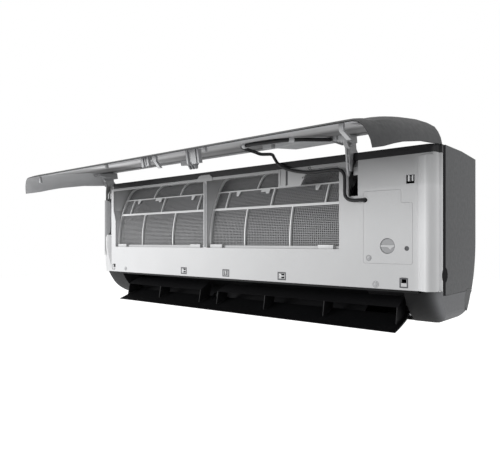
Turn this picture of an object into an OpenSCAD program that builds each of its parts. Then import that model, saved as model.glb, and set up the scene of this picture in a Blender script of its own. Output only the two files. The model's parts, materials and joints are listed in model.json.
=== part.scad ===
// Wall-mounted split indoor unit, front panel raised and outlet flap open.
// The origin lies on the wall at the middle of the wall plate: +X to the right seen
// from the front, +Y into the wall, +Z up. Lengths are millimetres.

/* [Body] */
// Width over the two side panels
body_w = 900; // [880:5:940]
// Height over all without the raised panel
body_h = 289; // [287:1:296]
// Depth from the wall to the flat white front
body_d = 187; // [185:1:195]
// Wall of the moulded shells
wall = 2.5; // [2.2:0.1:2.8]
// Height of the dark chin below the white frame
chin_h = 56.5; // [55:0.5:58]
// Height of the dark strip along the top front edge
strip_h = 13; // [11:0.5:14]
// Depth of the dark strip
strip_d = 12; // [10:0.5:12]
// Width of the curved column at each end
column_w = 32; // [31:0.5:34]
// Depth over which the column wraps round the corner
column_d = 29.6; // [28:0.2:31]
// How far the column stands in front of the flat front
column_bulge = 8.5; // [6:0.5:9.5]
// Radius of the bend at the lower rear
bend_r = 189; // [185:1:195]
// Height at which the lower rear bend starts, above the bottom
bend_h = 137.5; // [132:0.5:140]
// Width of the black seal between column and side panel
seal_w = 2.8; // [2.4:0.2:3.2]

/* [Filters] */
// Distance from the left side to the filter openings
open_margin = 50; // [48:1:52]
// Width of the bay at the right that holds motor and electronics
bay_w = 174.5; // [172:0.5:180]
// Width of the post between the two filter openings
post_w = 10; // [8:0.5:12]
// Height of the white front below the filter openings
sill_h = 65; // [62:0.5:67]
// Height of the white lip above the filter openings
lip_h = 6; // [4:0.5:7]
// Radius of the filter curve
filter_r = 237; // [230:1:245]
// Depth of the filter curve's centre behind the front
filter_c_d = 246; // [243:1:248]
// Height of the filter curve's centre, below the middle
filter_c_z = 8.4; // [7:0.2:10]
// Radius of the bend over the top of the filters
filter_bend_r = 43; // [40:1:46]
// Width of the filter's side rails
rail_w = 4; // [3:0.5:5]
// Depth of the filter's rails
rail_d = 4; // [3:0.5:4.5]
// Width of the filter's cross ribs
rib_w = 2.4; // [2:0.2:3]

/* [Panel] */
// Opening angle of the raised panel
panel_open = 80.6; // [70:0.1:84]
// Outward crown of the panel over its height
panel_crown = 7; // [5:0.5:8]
// Thickness of the panel skin
panel_t = 3; // [2.5:0.1:3.2]
// Gap from the flat front to the inside of the closed panel
panel_gap = 24.5; // [24:0.5:26]
// Depth of the hinge pins behind the flat front
pivot_d = 15; // [14.5:0.1:15.5]
// Distance of the hinge pins below the top
pivot_drop = 5.5; // [5.5:0.1:6]
// Radius of the hinge pins
pin_r = 2.5; // [2:0.1:2.8]
// Width of the arms
arm_w = 8; // [7:0.5:9]
// Reach of the arms from the hinge pin
arm_reach = 40; // [39:0.5:41]

/* [Outlet] */
// Distance from the outlet's cheeks to the body's ends
outlet_in = 62; // [60:1:66]
// Chord of the outlet flap
flap_chord = 59.5; // [58:0.5:60.5]
// Angle from the closed flap to the flap as shown
flap_open = 60.6; // [50:0.2:64]
// Length of a guide vane along the air stream
vane_chord = 24; // [20:1:24]
// Height of a guide vane
vane_h = 22.5; // [18:0.5:22.5]
// Distance between guide vanes
vane_pitch = 72; // [68:1:74]

/* [Inside] */
// Outer radius of the cross-flow fan
fan_r = 49; // [46:0.5:50]
// Number of fan blades
fan_blades = 28; // [24:1:34]
// Radius of the fan shaft
shaft_r = 4; // [3:0.5:5]
// Radius of the fan motor
motor_r = 42; // [38:1:43]
// Thickness of the heat exchanger slabs
coil_t = 24; // [20:1:25]
// Radius of the liquid pipe
liquid_r = 3.175; // [3.175:0.1:4]
// Radius of the gas pipe
gas_r = 4.76; // [4.5:0.1:6.35]
// Radius of the drain spigot
drain_r = 8.5; // [7:0.5:9]

/* [Wall plate] */
// Width of the wall plate
plate_w = 560; // [520:10:600]
// Height of the wall plate
plate_h = 220; // [200:5:225]
// Thickness of the wall plate
plate_t = 1.2; // [1:0.1:1.5]
// Distance between the plate's screw holes across
plate_dx = 450; // [400:10:460]
// Distance between the plate's screw holes upwards
plate_dz = 150; // [140:5:160]
// Radius of the plate's screw holes
plate_hole_r = 2.75; // [2.5:0.05:3]

/* [Hidden] */
$fn = 48;
// overrun of every cut, still gap between pieces, running gap of pins, loose gap
cut = 1;
gap = 0.3;
run = 0.05;
loose = 0.6;

// the body's own planes
front = -body_d;
top = body_h / 2;
bottom = -body_h / 2;
half_w = body_w / 2;
frame_z0 = bottom + chin_h;
strip_z1 = top - wall / 2;
strip_z0 = strip_z1 - strip_h;
frame_z1 = strip_z0 - gap;
crease_x = half_w - column_w;
sill_z = frame_z0 + sill_h;
lip_z = frame_z1 - lip_h;
seam_drop = 8;
seam_z = frame_z0 - seam_drop;
back_drop = 4.5;
back_gap = 3;
bend_z = bottom + bend_h;
top_flat_d = 110;
seal_d = column_d + seal_w + gap;

// the filter openings, the left one flared near its top
open_l = -half_w + open_margin;
open_r = half_w - bay_w;
post_x = (open_l + open_r) / 2;
post_l = post_x - post_w / 2;
post_r = post_x + post_w / 2;
flare_w = 9;
flare_low = 69;
flare_run = 27;
flare_z0 = sill_z + flare_low;
flare_z1 = flare_z0 + flare_run;

// the filter curve: centre, angle where it bends over, rear end, guide and seat below it
filter_c = [front + filter_c_d, -filter_c_z];
filter_top_a = 32.2;
filter_back = 92;
filter_guide = 9;
filter_seat = 4.6;

// the panel's hinge, its arms and the slots they fold into
pivot = [front + pivot_d, top - pivot_drop];
arm_l_in = 20;
arm_r_out = 23.5;
arm_l_x = -half_w + arm_l_in;
arm_r_x = open_r + arm_r_out;
slot_side = 1;
slot_room = 9.5;
slot_low = 157;
pocket_half = 11;
pocket_low = 97;
slot_r = [arm_r_x - arm_w / 2 - slot_side, arm_r_x + arm_w / 2 + slot_room];
slot_l = [arm_l_x - pocket_half, arm_l_x + pocket_half];
ear_w = 3.5;
ear_r = pin_r + wall;
liner_t = 2.5;
liner_d = panel_gap - liner_t;

// the air path: end walls, fan, scroll, drain pan and the flap's hinge
end_off_l = 14;
end_off_r = 11.5;
end_l = open_l - end_off_l;
end_r = open_r + end_off_r;
fan_at = [104, -22];
fan_c = [front + fan_at[0], fan_at[1]];
scroll_off = [-14, 5];
scroll_c = fan_c + scroll_off;
scroll_r = 72;
scroll_a0 = 20;
scroll_a1 = -45;
pan_low_at = [16.5, 0.6];
pan_high_at = [58, 26];
pan_low = [front + pan_low_at[0], frame_z0 + pan_low_at[1]];
pan_high = [front + pan_high_at[0], frame_z0 + pan_high_at[1]];
pan_a = atan2(pan_high[1] - pan_low[1], pan_high[0] - pan_low[0]);
pan_floor_h = 30;
pan_rim_h = 40;
pan_floor = frame_z0 + pan_floor_h;
pan_rim = frame_z0 + pan_rim_h;
hinge_at = [58.7, 10.7];
hinge = [front + hinge_at[0], bottom + hinge_at[1]];
cheek_x = half_w - outlet_in;
fin_off = 16;
fin_x = post_x - fin_off;
fin_w = 4;

// the heat exchanger's three slabs: lower front corner, lean and length of each
slab_front_at = [26, 0.3];
slab_top_at = [28, 46];
slab_top_a = 51.7;
slab_top_l = 88;
slab_rear_at = [122, 112];
slab_rear_a = -56.6;
slab_rear_l = 75;
slab_gap = 3;
coil_in = 4;
coil_out = 1.5;
coil_x0 = open_l + coil_in;
coil_x1 = open_r - coil_out;

function bow(p, q, s, n = 8) =
    let (l = norm(q - p), r = (l * l / 4 + s * s) / (2 * abs(s)), u = (q - p) / l,
        v = [-u[1], u[0]] * sign(s), h = asin(min(1, l / 2 / r)),
        c = (p + q) / 2 + v * (abs(s) - r))
    [for (i = [0:n]) let (a = -h + 2 * h * i / n) c + u * r * sin(a) + v * r * cos(a)];
function arc(c, r, a0, a1, n = 8) =
    [for (i = [0:n]) let (a = a0 + (a1 - a0) * i / n) c + r * [cos(a), sin(a)]];
function back(p) = [for (i = [len(p) - 1:-1:0]) p[i]];
function at(d, z) = [front + d, z];
function about(c, shares, size) = [for (s = shares) c + s * size];
function lean(a) = [cos(a), sin(a)];
// the point where the line from p along u crosses the height z
function meet(p, u, z) = p + u * (z - p[1]) / u[1];

// a profile in depth and height, drawn along X
module along(x0, x1) {
    translate([x0, 0, 0]) rotate([90, 0, 90]) linear_extrude(x1 - x0) children();
}
// a profile in width and height, drawn along Y
module inward(y0, y1) {
    translate([0, y1, 0]) rotate([90, 0, 0]) linear_extrude(y1 - y0) children();
}
module block(a, b) {
    translate(a) cube(b - a);
}
module rod(x0, x1, c, r) {
    translate([x0, c[0], c[1]]) rotate([0, 90, 0]) cylinder(h = x1 - x0, r = r);
}
module stud(x, z, y0, y1, r) {
    translate([x, y0, z]) rotate([-90, 0, 0]) cylinder(h = y1 - y0, r = r);
}
module both_ends() {
    children();
    mirror([1, 0, 0]) children();
}

// Wall plate: pressed sheet with windows, screw holes, stiffening beads and two hooks.
plate_edge = 30;
hook_w = 30;
hook_in = 60;
hook_drop = 10;
hook_reach = 5.8;
hook_up = 8;
hook_x = plate_w / 2 - hook_in;
hook_z = plate_h / 2 - hook_drop;
window_shares = [[-0.36, -0.14], [0.14, 0.36]];
module wall_plate() color("lightsteelblue") {
    difference() {
        union() {
            block([-plate_w / 2, -plate_t, -plate_h / 2], [plate_w / 2, 0, plate_h / 2]);
            for (s = [-1, 1])
                block([-plate_w / 2 + plate_edge, -2 * plate_t, s * plate_dz / 4 - plate_t],
                      [plate_w / 2 - plate_edge, 0, s * plate_dz / 4 + plate_t]);
        }
        for (w = window_shares, s = [-1, 1])
            block([w[0] * plate_w, -plate_t - cut, s * plate_dz / 2 - plate_edge / 2],
                  [w[1] * plate_w, cut, s * plate_dz / 2 + plate_edge / 2]);
        for (x = [-1, 1], z = [-1, 1])
            stud(x * plate_dx / 2, z * plate_dz / 2, -plate_t - cut, cut, plate_hole_r);
    }
    for (x = [-hook_x, hook_x])
        along(x - hook_w / 2, x + hook_w / 2) polygon([[-plate_t, hook_z],
            [-hook_reach - plate_t, hook_z], [-hook_reach - plate_t, hook_z + hook_up],
            [-hook_reach, hook_z + hook_up], [-hook_reach, hook_z + plate_t],
            [-plate_t, hook_z + plate_t]]);
}

// Rear casing: back wall with hook slots, lower bend, scroll, drip trough, end walls.
rear_x = half_w - wall - gap;
rear_y = -back_gap;
rear_top = top - back_drop - wall - gap;
exit_in = 64;
exit_w = 62;
exit_up = 84;
exit_x = [open_r + exit_in, open_r + exit_in + exit_w];
exit_z = bottom + exit_up;
sweep_r = 40;
bush_r = 12;
rib_deep = 24;
spigot_in = 120;
spigot_back = 13;
spigot_l = 28;
spigot_over = 10.4;
spigot_free = 12;
spigot_x = -half_w + spigot_in;
spigot_z = seam_z + spigot_over - spigot_l;
trough_lip = 6;
trough_over = 4;
scroll_u0 = [-sin(scroll_a0), cos(scroll_a0)];
scroll_u1 = [sin(scroll_a1), -cos(scroll_a1)];
scroll_foot = bottom + wall + gap;
function bend(o, z_end) =
    let (r = bend_r - o, a = asin((z_end - bend_z) / r))
    arc([-bend_r, bend_z], r, 0, a, 10);
function slab(p, a, l) =
    let (u = lean(a), n = [u[1], -u[0]])
    [p, p + l * u, p + l * u + coil_t * n, p + coil_t * n];
slab_top = slab(at(slab_top_at[0], slab_top_at[1]), slab_top_a, slab_top_l);
slab_rear = slab(at(slab_rear_at[0], slab_rear_at[1]), slab_rear_a, slab_rear_l);
slab_front = let (p = at(slab_front_at[0], pan_floor + slab_front_at[1]),
        z = slab_top[0][1] - slab_gap)
    [p, [p[0], z], [p[0] + coil_t, z - coil_t / tan(slab_top_a)], p + [coil_t, 0]];
module scroll_profile() {
    lip_z = slab_rear[2][1];
    r = scroll_r + wall;
    inner = arc(scroll_c, scroll_r, scroll_a0, scroll_a1, 12);
    outer = arc(scroll_c, r, scroll_a1, scroll_a0, 12);
    polygon(concat([meet(inner[0], scroll_u0, lip_z)], inner,
        [meet(inner[12], scroll_u1, scroll_foot), meet(outer[0], scroll_u1, scroll_foot)],
        outer, [meet(outer[12], scroll_u0, lip_z)]));
}
module trough_profile() {
    u = lean(slab_rear_a);
    n = [u[1], -u[0]];
    q = slab_rear[2] + gap * u + trough_over * n;
    wall_y = rear_y - wall / 2;
    p = q - n * (wall_y - q[0]) / -n[0];
    polygon([q - trough_lip * u, q, p, p + wall * u, q + wall * (u + n),
        q + wall * n - trough_lip * u]);
}
end_shares = [[0.08, -0.29], [0.08, 0.138], [0.16, 0.294], [0.267, 0.388], [0.4, 0.443],
    [0.64, 0.45]];
module end_wall(x0, hole) {
    r = scroll_r + wall / 2;
    on_scroll = meet(scroll_c + r * lean(scroll_a1), scroll_u1, hinge[1] + sweep_r / 2);
    a = atan2(on_scroll[1] - hinge[1], on_scroll[0] - hinge[0]);
    outer = bend(back_gap + wall / 2, seam_z);
    difference() {
        along(x0, x0 + wall) polygon(concat(
            [for (s = end_shares) at(s[0] * body_d, s[1] * body_h)],
            [[outer[0][0], end_shares[5][1] * body_h]], outer,
            arc(hinge, norm(on_scroll - hinge), a, 110, 10)));
        rod(x0 - cut, x0 + wall + cut, fan_c, hole);
    }
}
module rib_wall(x) {
    a = scroll_r + wall / 2;
    along(x, x + wall) polygon([scroll_c + [a, 0], [rear_y - wall / 2, scroll_c[1]],
        [rear_y - wall / 2, scroll_c[1] - rib_deep], scroll_c + a * lean(-rib_deep)]);
}
// below the motor bay the casing closes round the sweep of the flap's hoods
module bay_floor() along(end_r, cheek_x - gap) polygon(concat(
    arc(hinge, sweep_r, 12, 110, 10), arc(hinge, sweep_r + wall, 110, 12, 10)));
module rear_casing() color("gainsboro") difference() {
    union() {
        along(-rear_x, rear_x) polygon(concat([[rear_y - wall, rear_top], [rear_y, rear_top]],
            bend(back_gap, seam_z + gap), back(bend(back_gap + wall, seam_z + gap))));
        along(end_l - wall, end_r + wall) {
            scroll_profile();
            trough_profile();
        }
        end_wall(end_l - wall, bush_r + run);
        end_wall(end_r, bush_r);
        bay_floor();
        for (x = [end_l / 2, 0, end_r / 2]) rib_wall(x);
    }
    for (x = [-hook_x, hook_x])
        block([x - hook_w / 2 - cut, rear_y - wall - cut, hook_z - hook_up],
              [x + hook_w / 2 + cut, rear_y + cut, hook_z + plate_t + gap]);
    block([exit_x[0], rear_y - chin_h, seam_z - wall], [exit_x[1], rear_y + cut, exit_z]);
    translate([spigot_x, -spigot_back, spigot_z - gap])
        cylinder(h = spigot_l + 2 * gap, r = drain_r + 3 * gap);
}

// Side panels, and the black seals between them and the front columns.
thumb_r = 12;
thumb_up = 25;
thumb_z = frame_z0 + thumb_up;
knock_r = 20;
knock_at = [146, -16];
knock_c = [front + knock_at[0], seam_z + knock_at[1]];
module knock_out(r) rod(half_w - wall - cut, half_w + cut, knock_c, r);
module side_panel(right) color("dimgray") difference() {
    along(half_w - wall, half_w) polygon(concat([at(seal_d, top), at(top_flat_d, top),
        [0, top - back_drop]], bend(0, seam_z + gap), [at(seal_d, seam_z + gap)]));
    if (right) {
        rod(half_w - wall - cut, half_w + cut, at(column_d, thumb_z), thumb_r + gap);
        knock_out(knock_r + gap);
    }
}
module corner_seal(right) color("black") {
    along(half_w - 2 * wall, half_w)
        polygon([at(column_d + gap, strip_z1), at(seal_d - gap, strip_z1),
            at(seal_d - gap, seam_z + gap), at(column_d + gap, seam_z + gap)]);
    if (right) intersection() {
        rod(half_w - wall, half_w, at(column_d, thumb_z), thumb_r);
        block([0, front + column_d + gap, seam_z], [half_w, 0, top]);
    }
}
module pipe_cover() color("dimgray") intersection() {
    rod(half_w - wall, half_w, knock_c, knock_r);
    along(half_w - wall, half_w) polygon(concat([at(top_flat_d, top)], bend(wall, seam_z),
        bend_low(wall), [at(top_flat_d, bottom + wall)]));
}

// Lower casing: dark chin with rounded lower corners, cheeks, bearing fin and floor.
chin_at = [12.5, 60];
chin_bow = 5;
corner_r = 26;
cheek_d = 66.5;
floor_d = 63;
bar_d = [3, 16];
bar_h = 3.9;
boss_r = 6;
pipe_cut = [157, 12];
function bend_low(o, c = 0) =
    let (r = bend_r - o)
    arc([-bend_r, bend_z], r, asin((seam_z - bend_z) / r), asin((bottom + o - bend_z) / r), 6);
function chin(o, c) = concat(
    [at(chin_at[0] + o, frame_z0 - gap + c)],
    bow(at(chin_at[0] + o, frame_z0 - gap), at(chin_at[1] + o / 2, bottom + o), -chin_bow),
    back(bend_low(o)),
    [[bend_low(o)[0][0], seam_z + c], at(column_d, seam_z + c), at(column_d, frame_z0 - gap + c)]);
module chin_solid(o, c = 0) intersection() {
    along(-half_w, half_w) polygon(chin(o, c));
    inward(front - cut, cut) polygon(concat([[-half_w + o, top]],
        arc([-half_w + corner_r, bottom + corner_r], corner_r - o, 180, 270, 6),
        arc([half_w - corner_r, bottom + corner_r], corner_r - o, 270, 360, 6),
        [[half_w - o, top]]));
}
module lower_casing() color([0.2, 0.2, 0.21]) difference() {
    union() {
        difference() {
            chin_solid(0);
            chin_solid(wall, cut);
            block([-cheek_x, front - cut, bottom - cut], [cheek_x, front + floor_d, top]);
        }
        both_ends() intersection() {
            block([cheek_x, front, bottom], [cheek_x + wall, front + cheek_d, frame_z0 - gap]);
            chin_solid(0);
        }
        block([-crease_x, front + bar_d[0], frame_z0 - gap - bar_h],
              [crease_x, front + bar_d[1], frame_z0 - gap]);
        intersection() {
            along(fin_x - fin_w / 2, fin_x + fin_w / 2) {
                translate(hinge) circle(boss_r);
                polygon([hinge, at(cheek_d, hinge[1]), at(cheek_d, bottom), at(floor_d, bottom)]);
            }
            chin_solid(0);
        }
    }
    rod(-cheek_x - wall - cut, -cheek_x + cut, hinge, pin_r + run);
    rod(cheek_x - cut, cheek_x + wall + cut, hinge, pin_r + loose);
    rod(fin_x - fin_w, fin_x + fin_w, hinge, pin_r + run);
    block([exit_x[0], front + pipe_cut[0], seam_z - pipe_cut[1]], [exit_x[1], cut, top]);
    knock_out(knock_r + gap);
}

// White front frame: flat front, curved columns, filter recesses and hinge lugs.
column_in = [14, 3.5];
column_step = [14, 16, 17];
column_crown = 1.5;
column_turn = 3.5;
frame_lean = 1;
recess_d = 17;
web_d = [20, 23];
web_low = 17;
lug_shares = [[-0.33, -0.85], [-0.33, -0.5], [-0.13, -0.24], [-0.13, 0], [0.13, 0],
    [0.19, -0.25], [0.19, -0.42]];
lug_size = 40;
lug_thick = 12;
socket_w = 12;
socket_h = 9;
socket_x_shares = [-0.1463, 0.0009, 0.1657];
socket_up = 12;
latch_at = [55.2, 15.7];
latch_left_in = 45.3;
latch_w = 9;
clip_at = [44.4, 39.7];
clip_w = 14;
cover_in = [47.5, 41];
cover_up = [42, 163];
cover_notch = [19, 22];
cover_r = 3;
cover_x = [open_r + cover_in[0], half_w - cover_in[1]];
cover_z = [frame_z0 + cover_up[0], frame_z0 + cover_up[1]];
knob_at = [-42.5, 29.1];
knob_r = 12.4;
knob = [cover_x[1] + knob_at[0], cover_z[0] + knob_at[1]];
button_at = [-9.2, 25.3];
button_r = 3.6;
button = [cover_x[1] + button_at[0], cover_z[0] + button_at[1]];
screw_r = 1.6;
head_r = 3.6;
screw_r_at = [70.3, 6.8];
screw_l_at = [95, 8.7];
screw_c_at = [10.1, 8.6];
frame_screws = [[open_r + screw_r_at[0], frame_z0 + screw_r_at[1]],
    [-half_w + screw_l_at[0], frame_z0 + screw_l_at[1]]];
cover_screw = [cover_x[0] + screw_c_at[0], cover_z[0] + screw_c_at[1]];
lead_at = [3, 107];
lead_r = 3;
lead_room = 1.2;
lead = [cover_x[0] + lead_at[0], cover_z[0] + lead_at[1]];
tie_w = 47;
tie_top = 30;
tie_h = 7;
tie_t = 1.2;
bracket_in = [134.5, 82.5, 66.5];
bracket_h = 29;
function column_plan(o) = concat(
    [[crease_x - o, front + column_d + o], [crease_x - o, front + o]],
    bow([crease_x, front + o], [half_w - column_in[0] - column_turn / 2,
        front + o - column_bulge], -column_crown, 4),
    bow([half_w - column_in[0] - column_turn / 2, front + o - column_bulge],
        [half_w - column_in[1] - o, front + column_step[0]], -column_turn, 6),
    [[half_w - column_in[1] - o, front + column_step[1] + o],
        [half_w - o, front + column_step[2] + o], [half_w - o, front + column_d + o]]);
module column_body(o, z1) intersection() {
    translate([0, 0, frame_z0 - o]) linear_extrude(z1 - frame_z0 + 2 * o)
        polygon(column_plan(o));
    along(0, half_w) polygon(concat(
        bow(at(o + frame_lean, frame_z0 - o), at(o, z1 + o), column_bulge + frame_lean, 10),
        [at(column_d + o, z1 + o), at(column_d + o, frame_z0 - o)]));
}
module column(z1) difference() {
    column_body(0, z1);
    column_body(wall, z1);
}
function filter_line(o, z0) =
    let (a0 = 180 - asin((z0 - filter_c[1]) / (filter_r + o)), a1 = 180 - filter_top_a,
        c = filter_c + (filter_r - filter_bend_r) * lean(a1), r = filter_bend_r + o)
    concat(arc(filter_c, filter_r + o, a0, a1, 12), arc(c, r, a1, 90, 6),
        [[front + filter_back, c[1] + r]]);
function filter_part(o, z0, z1) =
    arc(filter_c, filter_r + o, 180 - asin((z0 - filter_c[1]) / (filter_r + o)),
        180 - asin((z1 - filter_c[1]) / (filter_r + o)), 8);
module recess_side() polygon(concat([at(0, sill_z - wall), at(0, frame_z1),
    at(strip_d + gap, frame_z1), at(strip_d + gap, top - wall - gap),
    at(filter_back, top - wall - gap)], back(filter_line(-filter_guide, sill_z - wall))));
function flare_line(x, z0) = [[x, z0], [x, flare_z0], [x - flare_w, flare_z1],
    [x - flare_w, top]];
module cover_outline(o) {
    x0 = cover_x[0] - o;
    x1 = cover_x[1] + o;
    z0 = cover_z[0] - o;
    z1 = cover_z[1] + o;
    nx = x1 - cover_notch[0];
    nz = z1 - cover_notch[1];
    r = cover_r + o;
    c = cover_r - o;
    polygon(concat(arc([x0 + r, z0 + r], r, 180, 270, 4), arc([x1 - r, z0 + r], r, 270, 360, 4),
        arc([x1 - r, nz - r], r, 0, 90, 4), arc([nx + c, nz + c], c, 270, 180, 4),
        arc([nx - r, z1 - r], r, 0, 90, 4), arc([x0 + r, z1 - r], r, 90, 180, 4)));
}
module lug(x0, x1) difference() {
    along(x0, x1) {
        translate(pivot) circle(ear_r);
        polygon(about(pivot, lug_shares, lug_size));
    }
    rod(x0 - cut, x1 + cut, pivot, pin_r + run);
}
module front_frame() color("whitesmoke") {
    arm_side = arm_w / 2 + gap;
    difference() {
        union() {
            block([-crease_x, front, frame_z0], [crease_x, front + wall, frame_z1]);
            column(frame_z1);
            mirror([1, 0, 0]) column(strip_z1);
            block([open_l - wall, front, sill_z - wall], [open_r + wall, front + recess_d, sill_z]);
            intersection() {
                along(open_l - 2 * flare_w, open_l) recess_side();
                inward(front, 0) polygon(concat(flare_line(open_l, sill_z - wall),
                    back(flare_line(open_l - wall, sill_z - wall))));
            }
            along(post_l, post_r) recess_side();
            along(open_r, open_r + wall) recess_side();
            for (x = [open_l - cut, post_l - rail_w, post_r, open_r - rail_w])
                along(x, x + rail_w) polygon(concat(
                    filter_part(-filter_guide, sill_z - wall, flare_z0),
                    back(filter_part(-filter_seat, sill_z - wall, flare_z0))));
            block([cover_x[0] - wall, front, cover_z[0] - wall],
                  [cover_x[1] + wall, front + 2 * wall, cover_z[1] + wall]);
            inward(front - tie_t, front) polygon([[post_x - tie_w / 2, frame_z1 - tie_h],
                [post_x + tie_w / 2, frame_z1 - tie_h], [post_x + tie_w / 2, frame_z1],
                [post_x + tie_top / 2, frame_z1 + tie_h], [post_x - tie_top / 2, frame_z1 + tie_h],
                [post_x - tie_w / 2, frame_z1]]);
        }
        inward(front - cut, front + wall + cut) {
            difference() {
                polygon(concat(flare_line(open_l, sill_z), [[post_l, top], [post_l, sill_z]]));
                translate([open_l - flare_w - cut, lip_z]) square([open_r - open_l, top]);
            }
            difference() {
                translate([post_r, sill_z]) square([open_r - post_r, lip_z - sill_z]);
                polygon([[open_r - bracket_in[0], lip_z + cut],
                    [open_r - bracket_in[2], lip_z + cut],
                    [open_r - bracket_in[1], lip_z - bracket_h],
                    [open_r - bracket_in[0], lip_z - bracket_h]]);
            }
        }
        block([slot_r[0], front - cut, frame_z0 + slot_low], [slot_r[1], front + 2 * wall, top]);
        block([slot_l[0], front - 2 * column_bulge, frame_z0 + pocket_low],
              [slot_l[1], front + 2 * wall, top]);
        inward(front - cut, front + 2 * wall + cut) cover_outline(-wall);
        inward(front - cut, front + wall) cover_outline(gap);
        for (s = socket_x_shares)
            block([s * body_w - socket_w / 2, front - cut, frame_z0 + socket_up - socket_h / 2],
                  [s * body_w + socket_w / 2, front + wall + cut,
                   frame_z0 + socket_up + socket_h / 2]);
        for (x = [-half_w + latch_left_in, half_w - latch_at[0]])
            block([x - latch_w / 2, front - cut, frame_z0 + latch_at[1] - latch_w / 2],
                  [x + latch_w / 2, front + wall + cut, frame_z0 + latch_at[1] + latch_w / 2]);
        block([half_w - clip_at[0] - clip_w / 2, front - cut, frame_z1 - clip_at[1] - clip_w / 2],
              [half_w - clip_at[0] + clip_w / 2, front + wall + cut,
               frame_z1 - clip_at[1] + clip_w / 2]);
        for (s = frame_screws) {
            stud(s[0], s[1], front - cut, front + wall + cut, screw_r + run);
            stud(s[0], s[1], front - cut, front + wall / 2, head_r + gap);
        }
        stud(lead[0], lead[1], front - cut, front + 3 * wall, lead_r + lead_room);
    }
    lug(arm_r_x - arm_side - 2 * ear_w, arm_r_x - arm_side);
    lug(arm_r_x + arm_side, arm_r_x + arm_side + lug_thick);
    for (x = [arm_l_x - arm_side - ear_w, arm_l_x + arm_side]) lug(x, x + ear_w);
    block([-half_w + wall - gap, front + web_d[0], pivot[1] - web_low],
          [arm_l_x - arm_side, front + web_d[1], strip_z1 - wall]);
    block([arm_l_x + arm_side, front + web_d[0], pivot[1] - web_low],
          [open_l - flare_w, front + web_d[1], top - wall - gap]);
}

// Dark strip along the top front edge, round the right corner; and the air inlet grille.
strip_corner = 48;
strip_lug = 9;
slot_pitch = 16;
slot_w = 9;
slot_row = 68;
slot_bar = 6;
slot_d = 34;
air_x = (end_l + end_r) / 2;
slot_count = floor((end_r - end_l - 2 * slot_pitch) / slot_pitch);
module top_strip() color([0.12, 0.12, 0.12]) difference() {
    union() {
        block([open_l - flare_w + gap, front, strip_z0],
              [half_w - strip_corner, front + strip_d, strip_z1]);
        translate([0, 0, strip_z0]) linear_extrude(strip_h) polygon(concat(
            [[half_w - strip_corner, front + column_d], [half_w - strip_corner, front],
                [half_w - column_in[0] - column_turn, front]],
            bow([half_w - column_in[0] - column_turn, front],
                [half_w - column_in[1], front + column_step[0]], -column_turn, 6),
            [[half_w - column_in[1], front + column_step[1]],
                [half_w, front + column_step[2]], [half_w, front + column_d]]));
    }
    block([arm_r_x - arm_w / 2 - slot_side, front - cut, strip_z0 - cut],
          [arm_r_x + arm_w / 2 + slot_side, front + strip_d + cut, top]);
    block([arm_r_x - arm_w / 2 - gap - 2 * ear_w - gap, front + strip_lug, strip_z0 - cut],
          [arm_r_x + arm_w / 2 + gap + lug_thick + gap, front + strip_d + cut, top]);
}
module top_grille() color("dimgray") difference() {
    along(-half_w + wall + gap, half_w - wall - gap) polygon([
        at(strip_d + gap, top - wall), at(strip_d + gap, top), at(top_flat_d, top),
        [rear_y, top - back_drop], [rear_y, top - back_drop - wall], at(top_flat_d, top - wall)]);
    for (i = [0:slot_count - 1], r = [0, 1])
        let (x = air_x + (i - slot_count / 2) * slot_pitch, y = front + slot_d + r * slot_row)
        block([x, y, top - 3 * wall], [x + slot_w, y + slot_row - slot_bar, top + cut]);
    block([arm_l_x - arm_w / 2 - ear_w - 2 * gap, front, top - 2 * wall],
          [arm_l_x + arm_w / 2 + ear_w + 2 * gap, front + pivot_d + ear_r + gap, top + cut]);
    block([arm_r_x - arm_w / 2 - 2 * ear_w - 2 * gap, front, top - 2 * wall],
          [arm_r_x + arm_w / 2 + lug_thick + 2 * gap, front + pivot_d + ear_r + gap, top + cut]);
    block([half_w - strip_corner - gap, front, top - 2 * wall],
          [half_w, front + seal_d, top + cut]);
    block([-half_w, front, top - 2 * wall], [-half_w + 2 * wall + 4 * gap, front + seal_d, top + cut]);
}

// Heat exchanger: three finned slabs between tube sheets, joined by return bends.
sheet_t = 1.2;
foot_w = 6;
bend_tube = 3;
bend_turn = 7;
bend_first = 11.5;
bend_pitch = 21.5;
module coil_front() color("silver") along(coil_x0, coil_x1) polygon(slab_front);
module coil_rear() color("silver") along(coil_x0, coil_x1) polygon(slab_rear);
module coil_top() color("silver") {
    along(coil_x0, coil_x1) polygon(slab_top);
    for (x = [coil_x0 - sheet_t, coil_x1]) along(x, x + sheet_t) {
        polygon(slab_front);
        polygon(slab_top);
        polygon(slab_rear);
        polygon([slab_front[1], slab_top[0], slab_top[3], slab_front[2]]);
        polygon([slab_top[1], slab_rear[0], slab_rear[3], slab_top[2]]);
    }
    for (x = [[end_l + gap, coil_x0 - sheet_t], [coil_x1 + sheet_t, end_r - gap]])
        block([x[0], slab_top[2][0] - foot_w, slab_top[2][1] + foot_w],
              [x[1], slab_top[2][0], slab_top[2][1] + foot_w + wall]);
}
module return_bends(p, a, n) for (i = [0:n - 1])
    translate([coil_x1 + sheet_t, p[0], p[1]]) rotate([a, 0, 0])
        translate([0, bend_first + i * bend_pitch, -coil_t / 2]) rotate([0, 0, -90])
            rotate_extrude(angle = 180) translate([bend_turn, 0]) circle(bend_tube);
module bend_row() {
    return_bends(slab_front[0], 90, 4);
    return_bends(slab_top[0], slab_top_a, 4);
    return_bends(slab_rear[0], slab_rear_a, 3);
}
module coil_bends() color("peru") {
    bend_row();
    translate([coil_x0 + coil_x1, 0, 0]) mirror([1, 0, 0]) bend_row();
}

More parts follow.
